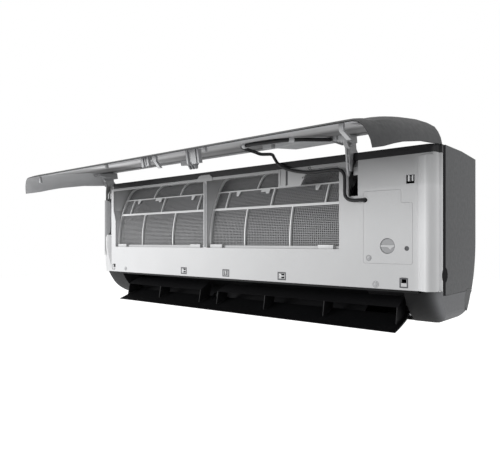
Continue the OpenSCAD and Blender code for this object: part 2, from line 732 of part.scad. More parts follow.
// Drain pan below the front slab; its sloping underside carries the guide vanes.
pan_wall = [3.5, 22, 2.5, 19];
pan_nose = 7;
vane_share = 0.62;
vane_pin_r = 1.8;
vane_pin_deep = 5;
link_r = 1.5;
link_hole_r = 2.4;
link_eye_r = 4;
link_w = 4;
link_t = 2;
link_arm = 9;
link_z = 17.3;
vane_root = 1.5;
vane_t = 2;
vane_group = 4;
vane_l_in = 153;
vane_r_in = 175.5;
vane_l_x = open_l + vane_l_in;
vane_r_x = open_r - vane_r_in;
vane_p = pan_low + vane_share * (pan_high - pan_low);
function vane_x(i) = (i < vane_group ? vane_l_x : vane_r_x)
    + (i % vane_group - (vane_group - 1) / 2) * vane_pitch;
module on_vane(x) translate([x, vane_p[0], vane_p[1]]) rotate([180 + pan_a, 0, 0]) children();
module drain_pan() color("gainsboro") difference() {
    along(end_l + gap, end_r - gap) polygon([pan_low, pan_high, [pan_high[0], pan_rim],
        [pan_high[0] - pan_wall[2], pan_rim], [pan_high[0] - pan_wall[2], pan_floor],
        [front + pan_wall[1], pan_floor], [front + pan_wall[1], pan_rim],
        [front + pan_wall[3], pan_rim], [front + pan_wall[3], pan_floor - pan_wall[0]],
        [pan_low[0], pan_low[1] + pan_nose]]);
    for (i = [0:2 * vane_group - 1]) on_vane(vane_x(i))
        translate([0, 0, -vane_pin_deep]) cylinder(h = vane_pin_deep + cut, r = vane_pin_r + run);
}
module vane(i) color([0.15, 0.15, 0.16]) on_vane(vane_x(i)) {
    translate([0, 0, -vane_pin_deep + gap])
        cylinder(h = vane_pin_deep - gap + vane_root + cut, r = vane_pin_r);
    difference() {
        translate([0, 0, vane_root]) linear_extrude(vane_h) polygon(concat(
            bow([0, -vane_chord / 2], [0, vane_chord / 2], vane_t / 2, 6),
            back(bow([0, -vane_chord / 2], [0, vane_chord / 2], -vane_t / 2, 6))));
        translate([-vane_t, -vane_chord, link_z - gap])
            cube([2 * vane_t, vane_chord - link_arm + link_eye_r + loose, vane_h]);
    }
    translate([0, -link_arm, link_z - gap - cut]) cylinder(h = cut + gap + link_t + gap, r = link_r);
}
module vane_link(g) color([0.2, 0.2, 0.2]) difference() {
    union() {
        on_vane(vane_x(g)) translate([0, -link_arm - link_w / 2, link_z])
            cube([(vane_group - 1) * vane_pitch, link_w, link_t]);
        for (i = [g:g + vane_group - 1]) on_vane(vane_x(i))
            translate([0, -link_arm, link_z]) cylinder(h = link_t, r = link_eye_r);
    }
    for (i = [g:g + vane_group - 1]) on_vane(vane_x(i))
        translate([0, -link_arm, link_z - cut]) cylinder(h = link_t + 2 * cut, r = link_hole_r);
}
module drain_spigot() color("lightgray") translate([spigot_x, -spigot_back, spigot_z])
    difference() {
        union() {
            cylinder(h = spigot_l, r = drain_r);
            translate([0, 0, spigot_free])
                cylinder(h = spigot_l - spigot_free, r = drain_r + 2 * gap);
        }
        translate([0, 0, -cut]) cylinder(h = spigot_l - wall, r = drain_r - wall / 2);
    }

// Refrigerant pipes: from the coil's end, down behind the motor and out to the rear recess.
pipe_back = 20;
pipe_end_x = 250;
pipe_turn = 18;
gas_at = [82.5, 62, -133];
liquid_at = [66.5, 46, -118];
module pipe(r, x1, z1, z0) {
    y = -pipe_back;
    x0 = end_r + wall + gap;
    rod(x0, x1 - pipe_turn, [y, z1], r);
    translate([x1 - pipe_turn, y, z1 - pipe_turn]) rotate([90, 0, 0])
        rotate_extrude(angle = 90) translate([pipe_turn, 0]) circle(r);
    translate([x1, y, z0 + pipe_turn]) cylinder(h = z1 - z0 - 2 * pipe_turn, r = r);
    translate([x1 - pipe_turn, y, z0 + pipe_turn]) rotate([90, 0, 0]) rotate([0, 0, -90])
        rotate_extrude(angle = 90) translate([pipe_turn, 0]) circle(r);
    rod(pipe_end_x, x1 - pipe_turn, [y, z0], r);
}
module gas_pipe() color("peru") pipe(gas_r, end_r + wall + gas_at[0], gas_at[1], gas_at[2]);
module liquid_pipe() color("peru")
    pipe(liquid_r, end_r + wall + liquid_at[0], liquid_at[1], liquid_at[2]);

// Cross-flow fan with its shaft, left bush, motor and clamp.
fan_in = [14, 5];
fan_x = [end_l + fan_in[0], end_r - fan_in[1]];
blade_r = 38;
blade_t = 1.4;
blade_bow = 2.6;
blade_skew = 9;
ring_t = 2;
ring_in = 34;
ring_count = 6;
hub_r = 11;
hub_l = 10;
shaft_end = 12;
bush_l = 8;
motor_off = 5;
motor_l = 58;
clamp_at = 18;
clamp_w = 18;
clamp_t = 3;
module fan_rotor() color([0.25, 0.27, 0.3]) {
    along(fan_x[0], fan_x[1]) translate(fan_c) for (i = [0:fan_blades - 1])
        rotate(i * 360 / fan_blades) let (p = blade_r * lean(0), q = (fan_r - ring_t / 4)
            * lean(blade_skew), t = blade_t / 2 * lean(90 + blade_skew))
            polygon(concat(bow(p + t, q + t, blade_bow, 2), back(bow(p - t, q - t, blade_bow, 2))));
    for (i = [1:ring_count - 1]) let (x = fan_x[0] + i * (fan_x[1] - fan_x[0]) / ring_count)
        difference() {
            rod(x - ring_t / 2, x + ring_t / 2, fan_c, fan_r);
            rod(x - ring_t, x + ring_t, fan_c, ring_in);
        }
    for (x = [fan_x[0], fan_x[1] - ring_t]) difference() {
        union() {
            rod(x, x + ring_t, fan_c, fan_r);
            rod(x == fan_x[0] ? x : x + ring_t - hub_l, x == fan_x[0] ? x + hub_l : x + ring_t,
                fan_c, hub_r);
        }
        rod(x - hub_l, x + 2 * hub_l, fan_c, shaft_r + run);
    }
}
module fan_shaft() color("silver") {
    rod(end_l - wall + gap, fan_x[0] + shaft_end, fan_c, shaft_r);
    rod(fan_x[1] - shaft_end, end_r + motor_off + motor_l - cut, fan_c, shaft_r);
}
module fan_bush() color("darkslategray") difference() {
    rod(end_l - wall, end_l - wall + bush_l, fan_c, bush_r);
    rod(end_l - 2 * wall, end_l + bush_l, fan_c, shaft_r + run);
}
module fan_motor() color("slategray") difference() {
    x = end_r + motor_off;
    union() {
        rod(x, x + motor_l, fan_c, motor_r - wall);
        rod(x + motor_l / 4, x + 3 * motor_l / 4, fan_c, motor_r);
    }
    rod(x - cut, x + motor_l + cut, fan_c, shaft_r + run);
}
module motor_clamp() color("lightsteelblue") difference() {
    x = end_r + motor_off + clamp_at;
    union() {
        rod(x, x + clamp_w, fan_c, motor_r + clamp_t);
        block([x, fan_c[0], fan_c[1] - shaft_r - wall],
              [x + clamp_w, rear_y - wall - 5 * gap, fan_c[1] + shaft_r + wall]);
    }
    rod(x - cut, x + clamp_w + cut, fan_c, motor_r + run);
}

// Electronics behind the front at the right: tray, board, cover, knob and button.
tray_x = [3, 38];
tray_d = [8, 56];
tray_z = [28, 154];
tray_x0 = end_r + tray_x[0];
tray_x1 = half_w - tray_x[1];
tray_z0 = frame_z0 + tray_z[0];
tray_z1 = frame_z0 + tray_z[1];
bridge_d = 13;
bridge_t = 4;
bridge_h = 14;
knob_shaft_r = 3;
knob_deep = 6;
knob_bar = 3.2;
knob_dip = 1;
stem_r = 2;
board_d = 40;
board_t = 1.6;
board_in = 4;
standoff_r = 3;
chips = [[20, 22, 26, 18, 14], [62, 20, 18, 26, 10], [24, 74, 30, 22, 16], [70, 70, 24, 30, 8]];
cans = [[52, 34, 6, 18], [52, 52, 5, 14], [92, 50, 6, 16], [88, 104, 5, 12], [30, 106, 6, 15]];
module control_box() color("gainsboro") difference() {
    union() {
        difference() {
            block([tray_x0, front + tray_d[0], tray_z0], [tray_x1, front + tray_d[1], tray_z1]);
            block([tray_x0 + wall, front, tray_z0 + wall],
                  [tray_x1 - wall, front + tray_d[1] - wall, tray_z1 - wall]);
        }
        block([tray_x0 + cut, front + bridge_d, knob[1] - bridge_h / 2],
              [tray_x1 - cut, front + bridge_d + bridge_t, knob[1] + bridge_h / 2]);
        for (x = [tray_x0 + 3 * board_in, tray_x1 - 3 * board_in],
            z = [tray_z0 + 3 * board_in, tray_z1 - 3 * board_in])
            stud(x, z, front + board_d + board_t, front + tray_d[1] - wall + cut, standoff_r);
    }
    stud(knob[0], knob[1], front, front + board_d - wall, knob_shaft_r + run);
    stud(button[0], button[1], front, front + board_d - wall, stem_r + run);
}
module control_board() color("seagreen") {
    x = tray_x0 + board_in;
    z = tray_z0 + board_in;
    block([x, front + board_d, z], [tray_x1 - board_in, front + board_d + board_t,
        tray_z1 - board_in]);
    for (c = chips) block([x + c[0] - c[2] / 2, front + board_d - c[4], z + c[1] - c[3] / 2],
        [x + c[0] + c[2] / 2, front + board_d, z + c[1] + c[3] / 2]);
    for (c = cans) stud(x + c[0], z + c[1], front + board_d - c[3], front + board_d, c[2]);
}
module control_cover() color("whitesmoke") difference() {
    inward(front, front + wall - gap) cover_outline(0);
    stud(knob[0], knob[1], front - cut, front + wall, knob_r + gap);
    stud(button[0], button[1], front - cut, front + wall, button_r + gap);
    stud(lead[0], lead[1], front - cut, front + wall, lead_r + lead_room);
    stud(cover_screw[0], cover_screw[1], front - cut, front + wall, screw_r + run);
    stud(cover_screw[0], cover_screw[1], front - cut, front + wall / 2, head_r + gap);
}
module turn_knob() color("gainsboro") {
    stud(knob[0], knob[1], front + knob_dip, front + knob_deep, knob_r);
    intersection() {
        stud(knob[0], knob[1], front, front + knob_deep, knob_r);
        block([knob[0] - knob_r, front, knob[1] - knob_bar / 2],
              [knob[0] + knob_r, front + knob_deep, knob[1] + knob_bar / 2]);
    }
    stud(knob[0], knob[1], front + knob_deep - cut, front + bridge_d + bridge_t, knob_shaft_r);
}
button_go = 1.5;
module push_button() color("gray") {
    stud(button[0], button[1], front + knob_dip, front + knob_deep, button_r);
    stud(button[0], button[1], front + knob_deep - cut, front + bridge_d + bridge_t, stem_r);
}
screw_l = 9;
module front_screws() color("silver") for (s = concat(frame_screws, [cover_screw])) difference() {
    union() {
        stud(s[0], s[1], front + gap / 2, front + wall / 2, head_r);
        stud(s[0], s[1], front + gap, front + screw_l, screw_r);
    }
    block([s[0] - head_r / 2, front, s[1] - gap], [s[0] + head_r / 2, front + 3 * gap, s[1] + gap]);
    block([s[0] - gap, front, s[1] - head_r / 2], [s[0] + gap, front + 3 * gap, s[1] + head_r / 2]);
}

// Slide-in filters: curved frame with ribs, and the mesh behind the ribs.
filter_under = 4;
skin = 1;
rib_under = 3;
mesh_under = 4;
mesh_t = 0.6;
bar_z = 5;
rib_main_z = [81, 86];
rib_thin_z = [121, 124];
low_shares = [0.31, 0.66];
high_shares = [0.117, 0.493, 0.88];
top_shares = [0.35, 0.65];
swing_d = 55;
swing_r = 3.4;
grip_shares = [[0.025, 0.13], [0.865, 0.96]];
grip_h = 7;
module filter_frame(x0, x1) color("white") {
    w = x1 - x0;
    z0 = sill_z + gap;
    for (x = [x0, x1 - rail_w]) along(x, x + rail_w) polygon(concat(
        filter_line(skin, z0), back(filter_line(-filter_under, z0))));
    for (z = [[0, bar_z], rib_main_z, rib_thin_z]) along(x0 + cut, x1 - cut) polygon(concat(
        filter_part(skin, z0 + z[0], z0 + z[1]), back(filter_part(-rib_under, z0 + z[0], z0 + z[1]))));
    z1 = filter_line(skin, z0)[19][1];
    block([x0 + cut, front + filter_back - bar_z, z1 - rib_under - skin],
          [x1 - cut, front + filter_back, z1]);
    for (s = low_shares) along(x0 + s * w - rib_w / 2, x0 + s * w + rib_w / 2) polygon(concat(
        filter_part(skin, z0, z0 + rib_main_z[1]), back(filter_part(-rib_under, z0, z0 + rib_main_z[1]))));
    for (s = high_shares) along(x0 + s * w - rib_w / 2, x0 + s * w + rib_w / 2) polygon(concat(
        filter_part(skin, z0 + rib_main_z[0], z0 + rib_thin_z[1]),
        back(filter_part(-rib_under, z0 + rib_main_z[0], z0 + rib_thin_z[1]))));
    for (s = top_shares) along(x0 + s * w - rib_w / 2, x0 + s * w + rib_w / 2) polygon(concat(
        filter_line(skin, z0 + rib_thin_z[0]), back(filter_line(-rib_under, z0 + rib_thin_z[0]))));
    bend_c = filter_c + (filter_r - filter_bend_r) * lean(180 - filter_top_a);
    swing_h = sqrt(pow(filter_bend_r + (skin - filter_under) / 2, 2)
        - pow(bend_c[0] - front - swing_d, 2));
    for (x = [x0, x1 - rail_w]) rod(x, x + rail_w, [front + swing_d, bend_c[1] + swing_h], swing_r);
    for (s = grip_shares) block([x0 + s[0] * w, front + wall, z0], [x0 + s[1] * w,
        filter_line(skin, z0)[0][0] + wall, z0 + grip_h]);
}
module filter_mesh(x0, x1) color([0.45, 0.45, 0.46])
    along(x0 + rail_w, x1 - rail_w) polygon(concat(filter_line(-rib_under - gap, sill_z + gap),
        back(filter_line(-rib_under - gap - mesh_t, sill_z + gap))));

// Front panel, raised about its hinge; drawn shut and turned up.
panel_end = 50;
panel_wrap = 39.9;
panel_top = 2;
panel_foot_at = [22.6, 6.5];
panel_curl = [38, 4];
panel_edge = [9, 9, 5, 5, 8];
panel_edge_shares = [0.986, 0.671, 0.235, -0.07, -0.654];
module raised() translate([0, pivot[0], pivot[1]]) rotate([-panel_open, 0, 0])
    translate([0, -pivot[0], -pivot[1]]) children();
module lowered() translate([0, pivot[0], pivot[1]]) rotate([panel_open, 0, 0])
    translate([0, -pivot[0], -pivot[1]]) children();
panel_d = panel_gap + panel_t;
function panel_plan(o, c) =
    let (f = front - panel_d - panel_crown + o, e = front - panel_d + panel_wrap,
        side = [for (a = [0:9:90]) [half_w - panel_end + (panel_end - o) * sin(a),
            e - (e - f) * cos(a)]])
    concat(side, [[half_w - o, e + c], [o - half_w, e + c]], [for (p = back(side)) [-p[0], p[1]]]);
function panel_profile(o, c) = concat(
    bow(at(-panel_d + o, top - panel_top + c), at(-panel_d + o, frame_z0 + panel_curl[0]),
        -panel_crown, 8),
    bow(at(-panel_d + o, frame_z0 + panel_curl[0]), at(-panel_foot_at[0] + o,
        frame_z0 - panel_foot_at[1] - c), -panel_curl[1], 6));
module panel_solid(o, c) intersection() {
    translate([0, 0, bottom]) linear_extrude(body_h) polygon(panel_plan(o, c));
    along(-half_w, half_w) polygon(concat(panel_profile(o, c),
        c == 0 ? back([for (i = [0:4]) at(panel_edge[i], panel_edge_shares[i] * top)])
        : [at(column_d, frame_z0 - panel_foot_at[1] - c), at(column_d, top - panel_top + c)]));
}
module front_panel() color("dimgray") raised() difference() {
    panel_solid(0, 0);
    panel_solid(panel_t, cut);
}
liner_z = [153, 226];
liner_in = 35;
module panel_liner() color([0.25, 0.25, 0.26]) raised()
    intersection() {
        block([-half_w + liner_in, front - panel_d - panel_crown, frame_z0 + liner_z[0]],
              [half_w - liner_in, front - liner_d, frame_z0 + liner_z[1]]);
        panel_solid(panel_t + gap / 2, cut);
    }
arm_shares = [[-0.99, 0.775], [-0.975, 0.575], [-0.6375, 0.25], [-0.6375, -0.45], [-0.4, -0.875],
    [-0.325, -0.9375], [-0.025, -0.9375], [0.05, -0.725], [0.1625, -0.125], [0.1375, 0.1375],
    [-0.05, 0.325], [-0.15, 0.9125], [-0.15, 1.05], [-0.99, 1.05]];
arm_foot = [6, 2.2, 34];
module panel_arm(x) {
    x0 = x - arm_w / 2;
    x1 = x + arm_w / 2;
    raised() intersection() {
        union() {
            lowered() along(x0, x1) polygon(about(pivot, arm_shares, arm_reach));
            block([x0 - arm_foot[0], front - panel_d - panel_crown, pivot[1] - arm_foot[2]],
                  [x1 + arm_foot[0], front - liner_d + arm_foot[1], pivot[1] - pin_r]);
        }
        panel_solid(panel_t + gap, cut);
        block([x0 - 2 * arm_foot[0],
               front - (abs(x) > half_w - liner_in ? panel_d + panel_crown : liner_d), frame_z0],
              [x1 + 2 * arm_foot[0], 0, top + arm_reach]);
    }
    rod(x0, x1, pivot, ear_r + gap);
    rod(x0 - gap - ear_w, x1 + gap + ear_w, pivot, pin_r);
}
module panel_arm_left() color("darkgray") panel_arm(arm_l_x);
module panel_arm_right() color("darkgray") panel_arm(arm_r_x);
hook_size = 8;
hook_t = 3;
hook_in_d = 5;
stay_x = [12.75, 32.75];
stay_z = [206, 227];
module catch(x, z, w, seat) intersection() {
    union() {
        block([x - w / 2, front - seat, z - hook_t / 2], [x + w / 2, front + hook_in_d,
            z + hook_t / 2]);
        block([x - w / 2, front + hook_in_d - hook_t / 2, z - hook_t],
              [x + w / 2, front + hook_in_d, z + hook_t / 2]);
        block([x - w / 2, front - seat, z - hook_t], [x + w / 2, front - seat + hook_t,
            z + hook_t]);
    }
    panel_solid(panel_t + gap / 2, cut);
}
module panel_hooks() color("silver") raised() {
    for (s = socket_x_shares) catch(s * body_w, frame_z0 + socket_up, hook_size, panel_d + panel_crown);
    for (x = [-half_w + latch_left_in, half_w - latch_at[0]])
        catch(x, frame_z0 + latch_at[1], latch_w - 4 * gap, panel_d + panel_crown);
    catch(half_w - clip_at[0], frame_z1 - clip_at[1], hook_size, liner_d);
    block([post_x - stay_x[1], front - liner_d, frame_z0 + stay_z[0]],
          [post_x - stay_x[0], front - cut - tie_t, frame_z0 + stay_z[1]]);
}
box_in = [147.5, 6.5];
box_z = [150, 200];
box_t = 9;
display_x = [open_r - box_in[0], open_r + box_in[1]];
module display_box() color([0.3, 0.3, 0.32]) raised() {
    block([display_x[0], front - liner_d, frame_z0 + box_z[0]],
          [display_x[1], front - liner_d + box_t, frame_z0 + box_z[1]]);
}
clip_spots = [[-85.5, -26.4], [-43.5, -28.6]];
clip_room = 2.3;
clip_t = 1.2;
module cable_clips() color("gainsboro") raised() for (p = clip_spots) intersection() {
    x = open_r + p[0];
    y = front - panel_gap + lead_r + gap;
    difference() {
        union() {
            rod(x - lead_r, x + lead_r, [y, p[1]], lead_r + clip_room + clip_t);
            block([x - lead_r, front - panel_d - panel_crown, p[1] - 3 * wall],
                  [x + lead_r, y, p[1] + 3 * wall]);
        }
        rod(x - 2 * lead_r, x + 2 * lead_r, [y, p[1]], lead_r + clip_room);
    }
    panel_solid(panel_t + gap / 2, cut);
}

// Display cable, from the box on the raised panel down to the electronics behind the cover.
cable_route = [[7.9, -45, 162], [12, -47, 161.6], [14.5, -57, 159.6], [10.5, -80, 156.6],
    [1.5, -118, 152], [-13.5, -145, 149], [-40.5, -156, 147.5], [-70.5, -157, 147.5],
    [-95.5, -149, 148.5], [-112.5, -125, 150.6], [-119.5, -90, 150.6], [-124.5, -67, 150.2],
    [-128.5, -45, 153.2], [-132.5, -28, 156], [-136.5, -15, 156.5], [-137.5, -8, 151],
    [-130.5, -7, 141], [-117.5, -7, 132], [-102.5, -7, 126], [-78.5, -7, 120],
    [-51.5, -7, 117], [-25.5, -7, 117], [-3.5, -7, 117], [8.5, -7, 114], [14.5, -7, 106],
    [15.5, -7, 92], [15.5, -7, 76], [17.5, -7, 68], [23.5, -7, 63], [32.5, -7, 61],
    [42.5, -6, 61], [48.5, -4, 61], [50.5, 1, 61], [50.5, 8, 61]];
cable_sides = 10;
function spline(p, i, t) =
    let (n = len(p) - 1, a = p[max(i - 1, 0)], b = p[i], c = p[i + 1], d = p[min(i + 2, n)])
    0.5 * (2 * b + (c - a) * t + (2 * a - 5 * b + 4 * c - d) * t * t
        + (3 * b - a - 3 * c + d) * t * t * t);
function unit(v) = v / norm(v);
cable_path = [for (i = [0:len(cable_route) - 2], t = [0, 0.5]) spline(cable_route, i, t),
    cable_route[len(cable_route) - 1]];
function heading(p, i) = unit(p[min(i + 1, len(p) - 1)] - p[max(i - 1, 0)]);
module display_cable() color([0.1, 0.1, 0.1]) translate([open_r, front, 0]) {
    p = cable_path;
    n = cable_sides;
    sides = [for (i = 0, v = unit(cross(heading(p, 0), [0, 0, 1])); i < len(p);
        i = i + 1, v = i < len(p) ? unit(v - (v * heading(p, i)) * heading(p, i)) : v) v];
    points = [for (i = [0:len(p) - 1], k = [0:n - 1]) let (a = k * 360 / n)
        p[i] + lead_r * (cos(a) * sides[i] + sin(a) * cross(heading(p, i), sides[i]))];
    last = (len(p) - 1) * n;
    polyhedron(points, concat([[for (k = [0:n - 1]) k]], [[for (k = [n - 1:-1:0]) last + k]],
        [for (i = [0:len(p) - 2], k = [0:n - 1], h = [0, 1])
            let (a = i * n + k, b = i * n + (k + 1) % n)
            h == 0 ? [a, a + n, b + n] : [a, b + n, b]]), convexity = 10);
}

// Outlet flap with end and centre bearings, its inner hoods and its motor.
flap_in = 8;
flap_rear_off = [-2.7, -5.2];
flap_lean = 199.65;
flap_t = 3;
flap_tip_share = 0.5;
flap_bow = 1.5;
flap_x = cheek_x - flap_in;
flap_ear = 4;
flap_rear = hinge + flap_rear_off;
flap_tip = flap_rear + flap_chord * lean(flap_lean);
flap_n = lean(flap_lean - 90);
pin_side = 8;
step_r = 12;
step_off = 10;
step_a = 60;
step_l = 20;
function flap_skin(t0, t1, b) = bow(flap_rear + t0 * flap_n, flap_tip + t1 * flap_n, b, 6);
module flap() color([0.12, 0.12, 0.13]) {
    difference() {
        union() {
            along(-flap_x, flap_x) polygon(concat(flap_skin(0, 0, flap_bow),
                back(flap_skin(flap_t, flap_t * flap_tip_share, flap_bow / 2))));
            for (x = [-flap_x, flap_x - flap_ear - gap * 6]) flap_end(x, x + flap_ear + gap * 6);
            for (x = [fin_x - pin_side - flap_ear, fin_x + pin_side]) flap_end(x, x + flap_ear);
        }
        rod(fin_x - fin_w / 2 - cut, fin_x + fin_w / 2 + cut, hinge, boss_r + cut);
        rod(flap_x - flap_ear - 12 * gap, flap_x + cut, hinge, pin_r + run);
    }
    rod(-cheek_x - wall - gap, -flap_x + cut, hinge, pin_r);
    rod(fin_x - pin_side - cut, fin_x + pin_side + cut, hinge, pin_r);
}
module flap_end(x0, x1) along(x0, x1) {
    translate(hinge) circle(ear_r);
    polygon([hinge + ear_r * lean(100), hinge + ear_r * lean(280), flap_rear,
        flap_rear + 2 * ear_r * lean(flap_lean), flap_rear + 2 * ear_r * lean(flap_lean)
        + flap_t * flap_n]);
}
hood_shares = [[-0.566, 0.232], [-0.079, 0.501], [0.039, 0.383]];
hood_wall_shares = [[-0.566, 0.232], [-0.079, 0.501], [0.022, 0.4], [-0.079, -0.036],
    [-0.65, -0.242]];
hood_t = 2;
hood_in = 6;
hood_off = [23.75, 30.25];
hood_left = [-flap_x + hood_in, fin_x - hood_off[0]];
hood_left_shares = [0.47];
hood_right = [fin_x + hood_off[1], flap_x - hood_in - 2 * gap];
hood_right_shares = [0.318, 0.655];
module hood(ends, shares) color([0.14, 0.14, 0.15]) {
    p = about(hinge, hood_shares, flap_chord);
    q = about(hinge, hood_wall_shares, flap_chord);
    along(ends[0], ends[1]) polygon(concat(p,
        [p[2] - [hood_t, 0], p[1] - [0, 1.3 * hood_t], p[0] + [hood_t, -hood_t / 2]]));
    for (x = concat([ends[0], ends[1] - hood_t],
            [for (s = shares) ends[0] + s * (ends[1] - ends[0])]))
        along(x, x + hood_t) polygon(q);
}
module flap_motor() color("slategray") {
    c = hinge + step_off * lean(step_a);
    x = cheek_x + wall + gap;
    rod(x, x + step_l, c, step_r);
    rod(flap_x - flap_ear, x + cut, hinge, pin_r);
}

wall_plate();
rear_casing();
front_frame();
top_strip();
top_grille();
mirror([1, 0, 0]) side_panel(false);  // side_panel_left
side_panel(true);  // side_panel_right
mirror([1, 0, 0]) corner_seal(false);  // corner_seal_left
corner_seal(true);  // corner_seal_right
lower_casing();
pipe_cover();
coil_front();
coil_top();
coil_rear();
coil_bends();
drain_pan();
drain_spigot();
liquid_pipe();
gas_pipe();
fan_rotor();
fan_shaft();
fan_motor();
motor_clamp();
fan_bush();
control_box();
control_board();
control_cover();
turn_knob();
push_button();
front_screws();
filter_frame(open_l + loose, post_l - loose);  // filter_frame_left
filter_mesh(open_l + loose, post_l - loose);  // filter_mesh_left
filter_frame(post_r + loose, open_r - loose);  // filter_frame_right
filter_mesh(post_r + loose, open_r - loose);  // filter_mesh_right
front_panel();
panel_liner();
panel_arm_left();
panel_arm_right();
panel_hooks();
display_box();
cable_clips();
display_cable();
flap();
hood(hood_left, hood_left_shares);  // flap_hood_left
hood(hood_right, hood_right_shares);  // flap_hood_right
flap_motor();
vane(0);  // vane_1
vane(1);  // vane_2
vane(2);  // vane_3
vane(3);  // vane_4
vane(4);  // vane_5
vane(5);  // vane_6
vane(6);  // vane_7
vane(7);  // vane_8
vane_link(0);  // vane_link_left
vane_link(vane_group);  // vane_link_right
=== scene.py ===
# Mini split indoor unit with its front panel raised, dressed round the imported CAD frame.
import json
import math

import bmesh
import bpy
from mathutils import Matrix, Vector


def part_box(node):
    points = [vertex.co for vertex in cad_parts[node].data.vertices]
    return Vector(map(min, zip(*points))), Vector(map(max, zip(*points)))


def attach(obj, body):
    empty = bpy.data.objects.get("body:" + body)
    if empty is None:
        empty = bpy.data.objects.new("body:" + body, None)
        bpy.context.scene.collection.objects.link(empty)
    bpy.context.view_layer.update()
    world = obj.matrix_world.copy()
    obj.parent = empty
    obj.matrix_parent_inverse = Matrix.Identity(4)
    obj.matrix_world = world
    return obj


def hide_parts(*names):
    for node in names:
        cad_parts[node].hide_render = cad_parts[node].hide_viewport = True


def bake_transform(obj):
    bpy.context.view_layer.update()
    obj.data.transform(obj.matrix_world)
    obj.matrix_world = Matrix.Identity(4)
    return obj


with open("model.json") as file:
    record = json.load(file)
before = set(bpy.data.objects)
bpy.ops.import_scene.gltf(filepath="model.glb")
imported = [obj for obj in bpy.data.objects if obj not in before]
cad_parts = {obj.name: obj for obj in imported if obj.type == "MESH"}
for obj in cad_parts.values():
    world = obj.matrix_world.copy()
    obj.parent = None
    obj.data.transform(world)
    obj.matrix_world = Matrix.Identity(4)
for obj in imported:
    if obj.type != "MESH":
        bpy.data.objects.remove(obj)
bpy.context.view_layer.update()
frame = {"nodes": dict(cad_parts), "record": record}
nodes = frame["nodes"]
bodyOf = {node: body for body, names in frame["record"]["behaviour"]["bodies"].items() for node in names}
slots = {row["node"]: row["material_slot"] for row in frame["record"]["subparts"]}
print("frame loaded", len(nodes), "nodes")

# Camera at the photograph's viewing angle
camera = {
    "place": (0.731, -0.960, -0.010), "turn": 40.6, "lens": 36, "sensor": 36, "shiftUp": 0.0336,
    "near": 0.05, "far": 60,
}


def makeCamera():
    data = bpy.data.cameras.new("camera")
    data.lens, data.sensor_width = camera["lens"], camera["sensor"]
    data.shift_y = camera["shiftUp"]
    data.clip_start, data.clip_end = camera["near"], camera["far"]
    eye = bpy.data.objects.new("camera", data)
    eye.location = camera["place"]
    eye.rotation_euler = (math.radians(90), 0, math.radians(camera["turn"]))
    bpy.context.scene.collection.objects.link(eye)
    bpy.context.scene.camera = eye


makeCamera()
print("camera placed")

# Display cable: the route of the part's source, in millimetres with the depth behind the flat front
cable = {
    "route": [
        (283.4, -45, 162), (287.5, -47, 161.6), (290, -57, 159.6), (286, -80, 156.6), (277, -118, 152),
        (262, -145, 149), (235, -156, 147.5), (205, -157, 147.5), (180, -149, 148.5),
        (163, -125, 150.6), (156, -90, 150.6), (151, -67, 150.2), (147, -45, 153.2),
        (143, -28, 156), (139, -15, 156.5), (138, -8, 151), (145, -7, 141), (158, -7, 132),
        (173, -7, 126), (197, -7, 120), (224, -7, 117), (250, -7, 117), (272, -7, 117),
        (284, -7, 114), (290, -7, 106), (291, -7, 92), (291, -7, 76), (293, -7, 68),
        (299, -7, 63), (308, -7, 61), (318, -6, 61), (324, -4, 61), (326, 1, 61), (326, 8, 61),
    ],
    "radius": 0.003,
    "steps": 5,
    "sides": 14,
    "bendFrom": (0.14, -0.196, 0.15),
    "bendTo": (0.145, -0.218, 0.166),
}


def splinePoint(points, i, t):
    a, b = points[max(i - 1, 0)], points[i]
    c, d = points[i + 1], points[min(i + 2, len(points) - 1)]
    return 0.5 * (
        2 * b + (c - a) * t + (2 * a - 5 * b + 4 * c - d) * t * t + (3 * b - a - 3 * c + d) * t**3
    )


def smoothPath(points, steps):
    path = [splinePoint(points, i, k / steps) for i in range(len(points) - 1) for k in range(steps)]
    return path + [points[-1]]


def sweepTube(bm, path, radius, sides):
    # a round tube along a path, turned as little as it can be from point to point
    side = (path[1] - path[0]).cross(Vector((0, 0, 1))).normalized()
    rings = []
    for i, point in enumerate(path):
        heading = (path[min(i + 1, len(path) - 1)] - path[max(i - 1, 0)]).normalized()
        side = (side - side.dot(heading) * heading).normalized()
        up = heading.cross(side)
        start = len(bm.verts)
        turns = [2 * math.pi * k / sides for k in range(sides)]
        rings.append(
            [bm.verts.new(point + radius * (math.cos(a) * side + math.sin(a) * up)) for a in turns]
        )
    for low, high in zip(rings, rings[1:]):
        for k in range(sides):
            n = (k + 1) % sides
            bm.faces.new((low[k], low[n], high[n], high[k]))
    bm.faces.new(list(reversed(rings[0])))
    bm.faces.new(rings[-1])
    bmesh.ops.recalc_face_normals(bm, faces=bm.faces)


shading = {"broadArea": 0.00004, "broadAngle": 14, "roundFrom": 35, "mergeWithin": 1e-6, "flatWithin": 0.3}


def markSharp(bm, smooth):
    # broad flat faces keep their own shading beside a small round
    bm.normal_update()
    for edge in bm.edges:
        turn = math.degrees(edge.calc_face_angle(0)) if len(edge.link_faces) == 2 else 180
        broad = max((f.calc_area() for f in edge.link_faces), default=0) > shading["broadArea"]
        edge.smooth = turn < (shading["broadAngle"] if broad else smooth)


def finishPiece(name, bm, body, materials, replaced=(), smooth=35):
    mesh = bpy.data.meshes.new(name)
    if smooth:
        markSharp(bm, smooth)
    bm.to_mesh(mesh)
    bm.free()
    for material in materials:
        mesh.materials.append(material)
    mesh.shade_smooth()
    piece = bpy.data.objects.new(name, mesh)
    bpy.context.scene.collection.objects.link(piece)
    if body:
        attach(piece, body)
    if replaced:
        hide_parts(*replaced)
    return piece


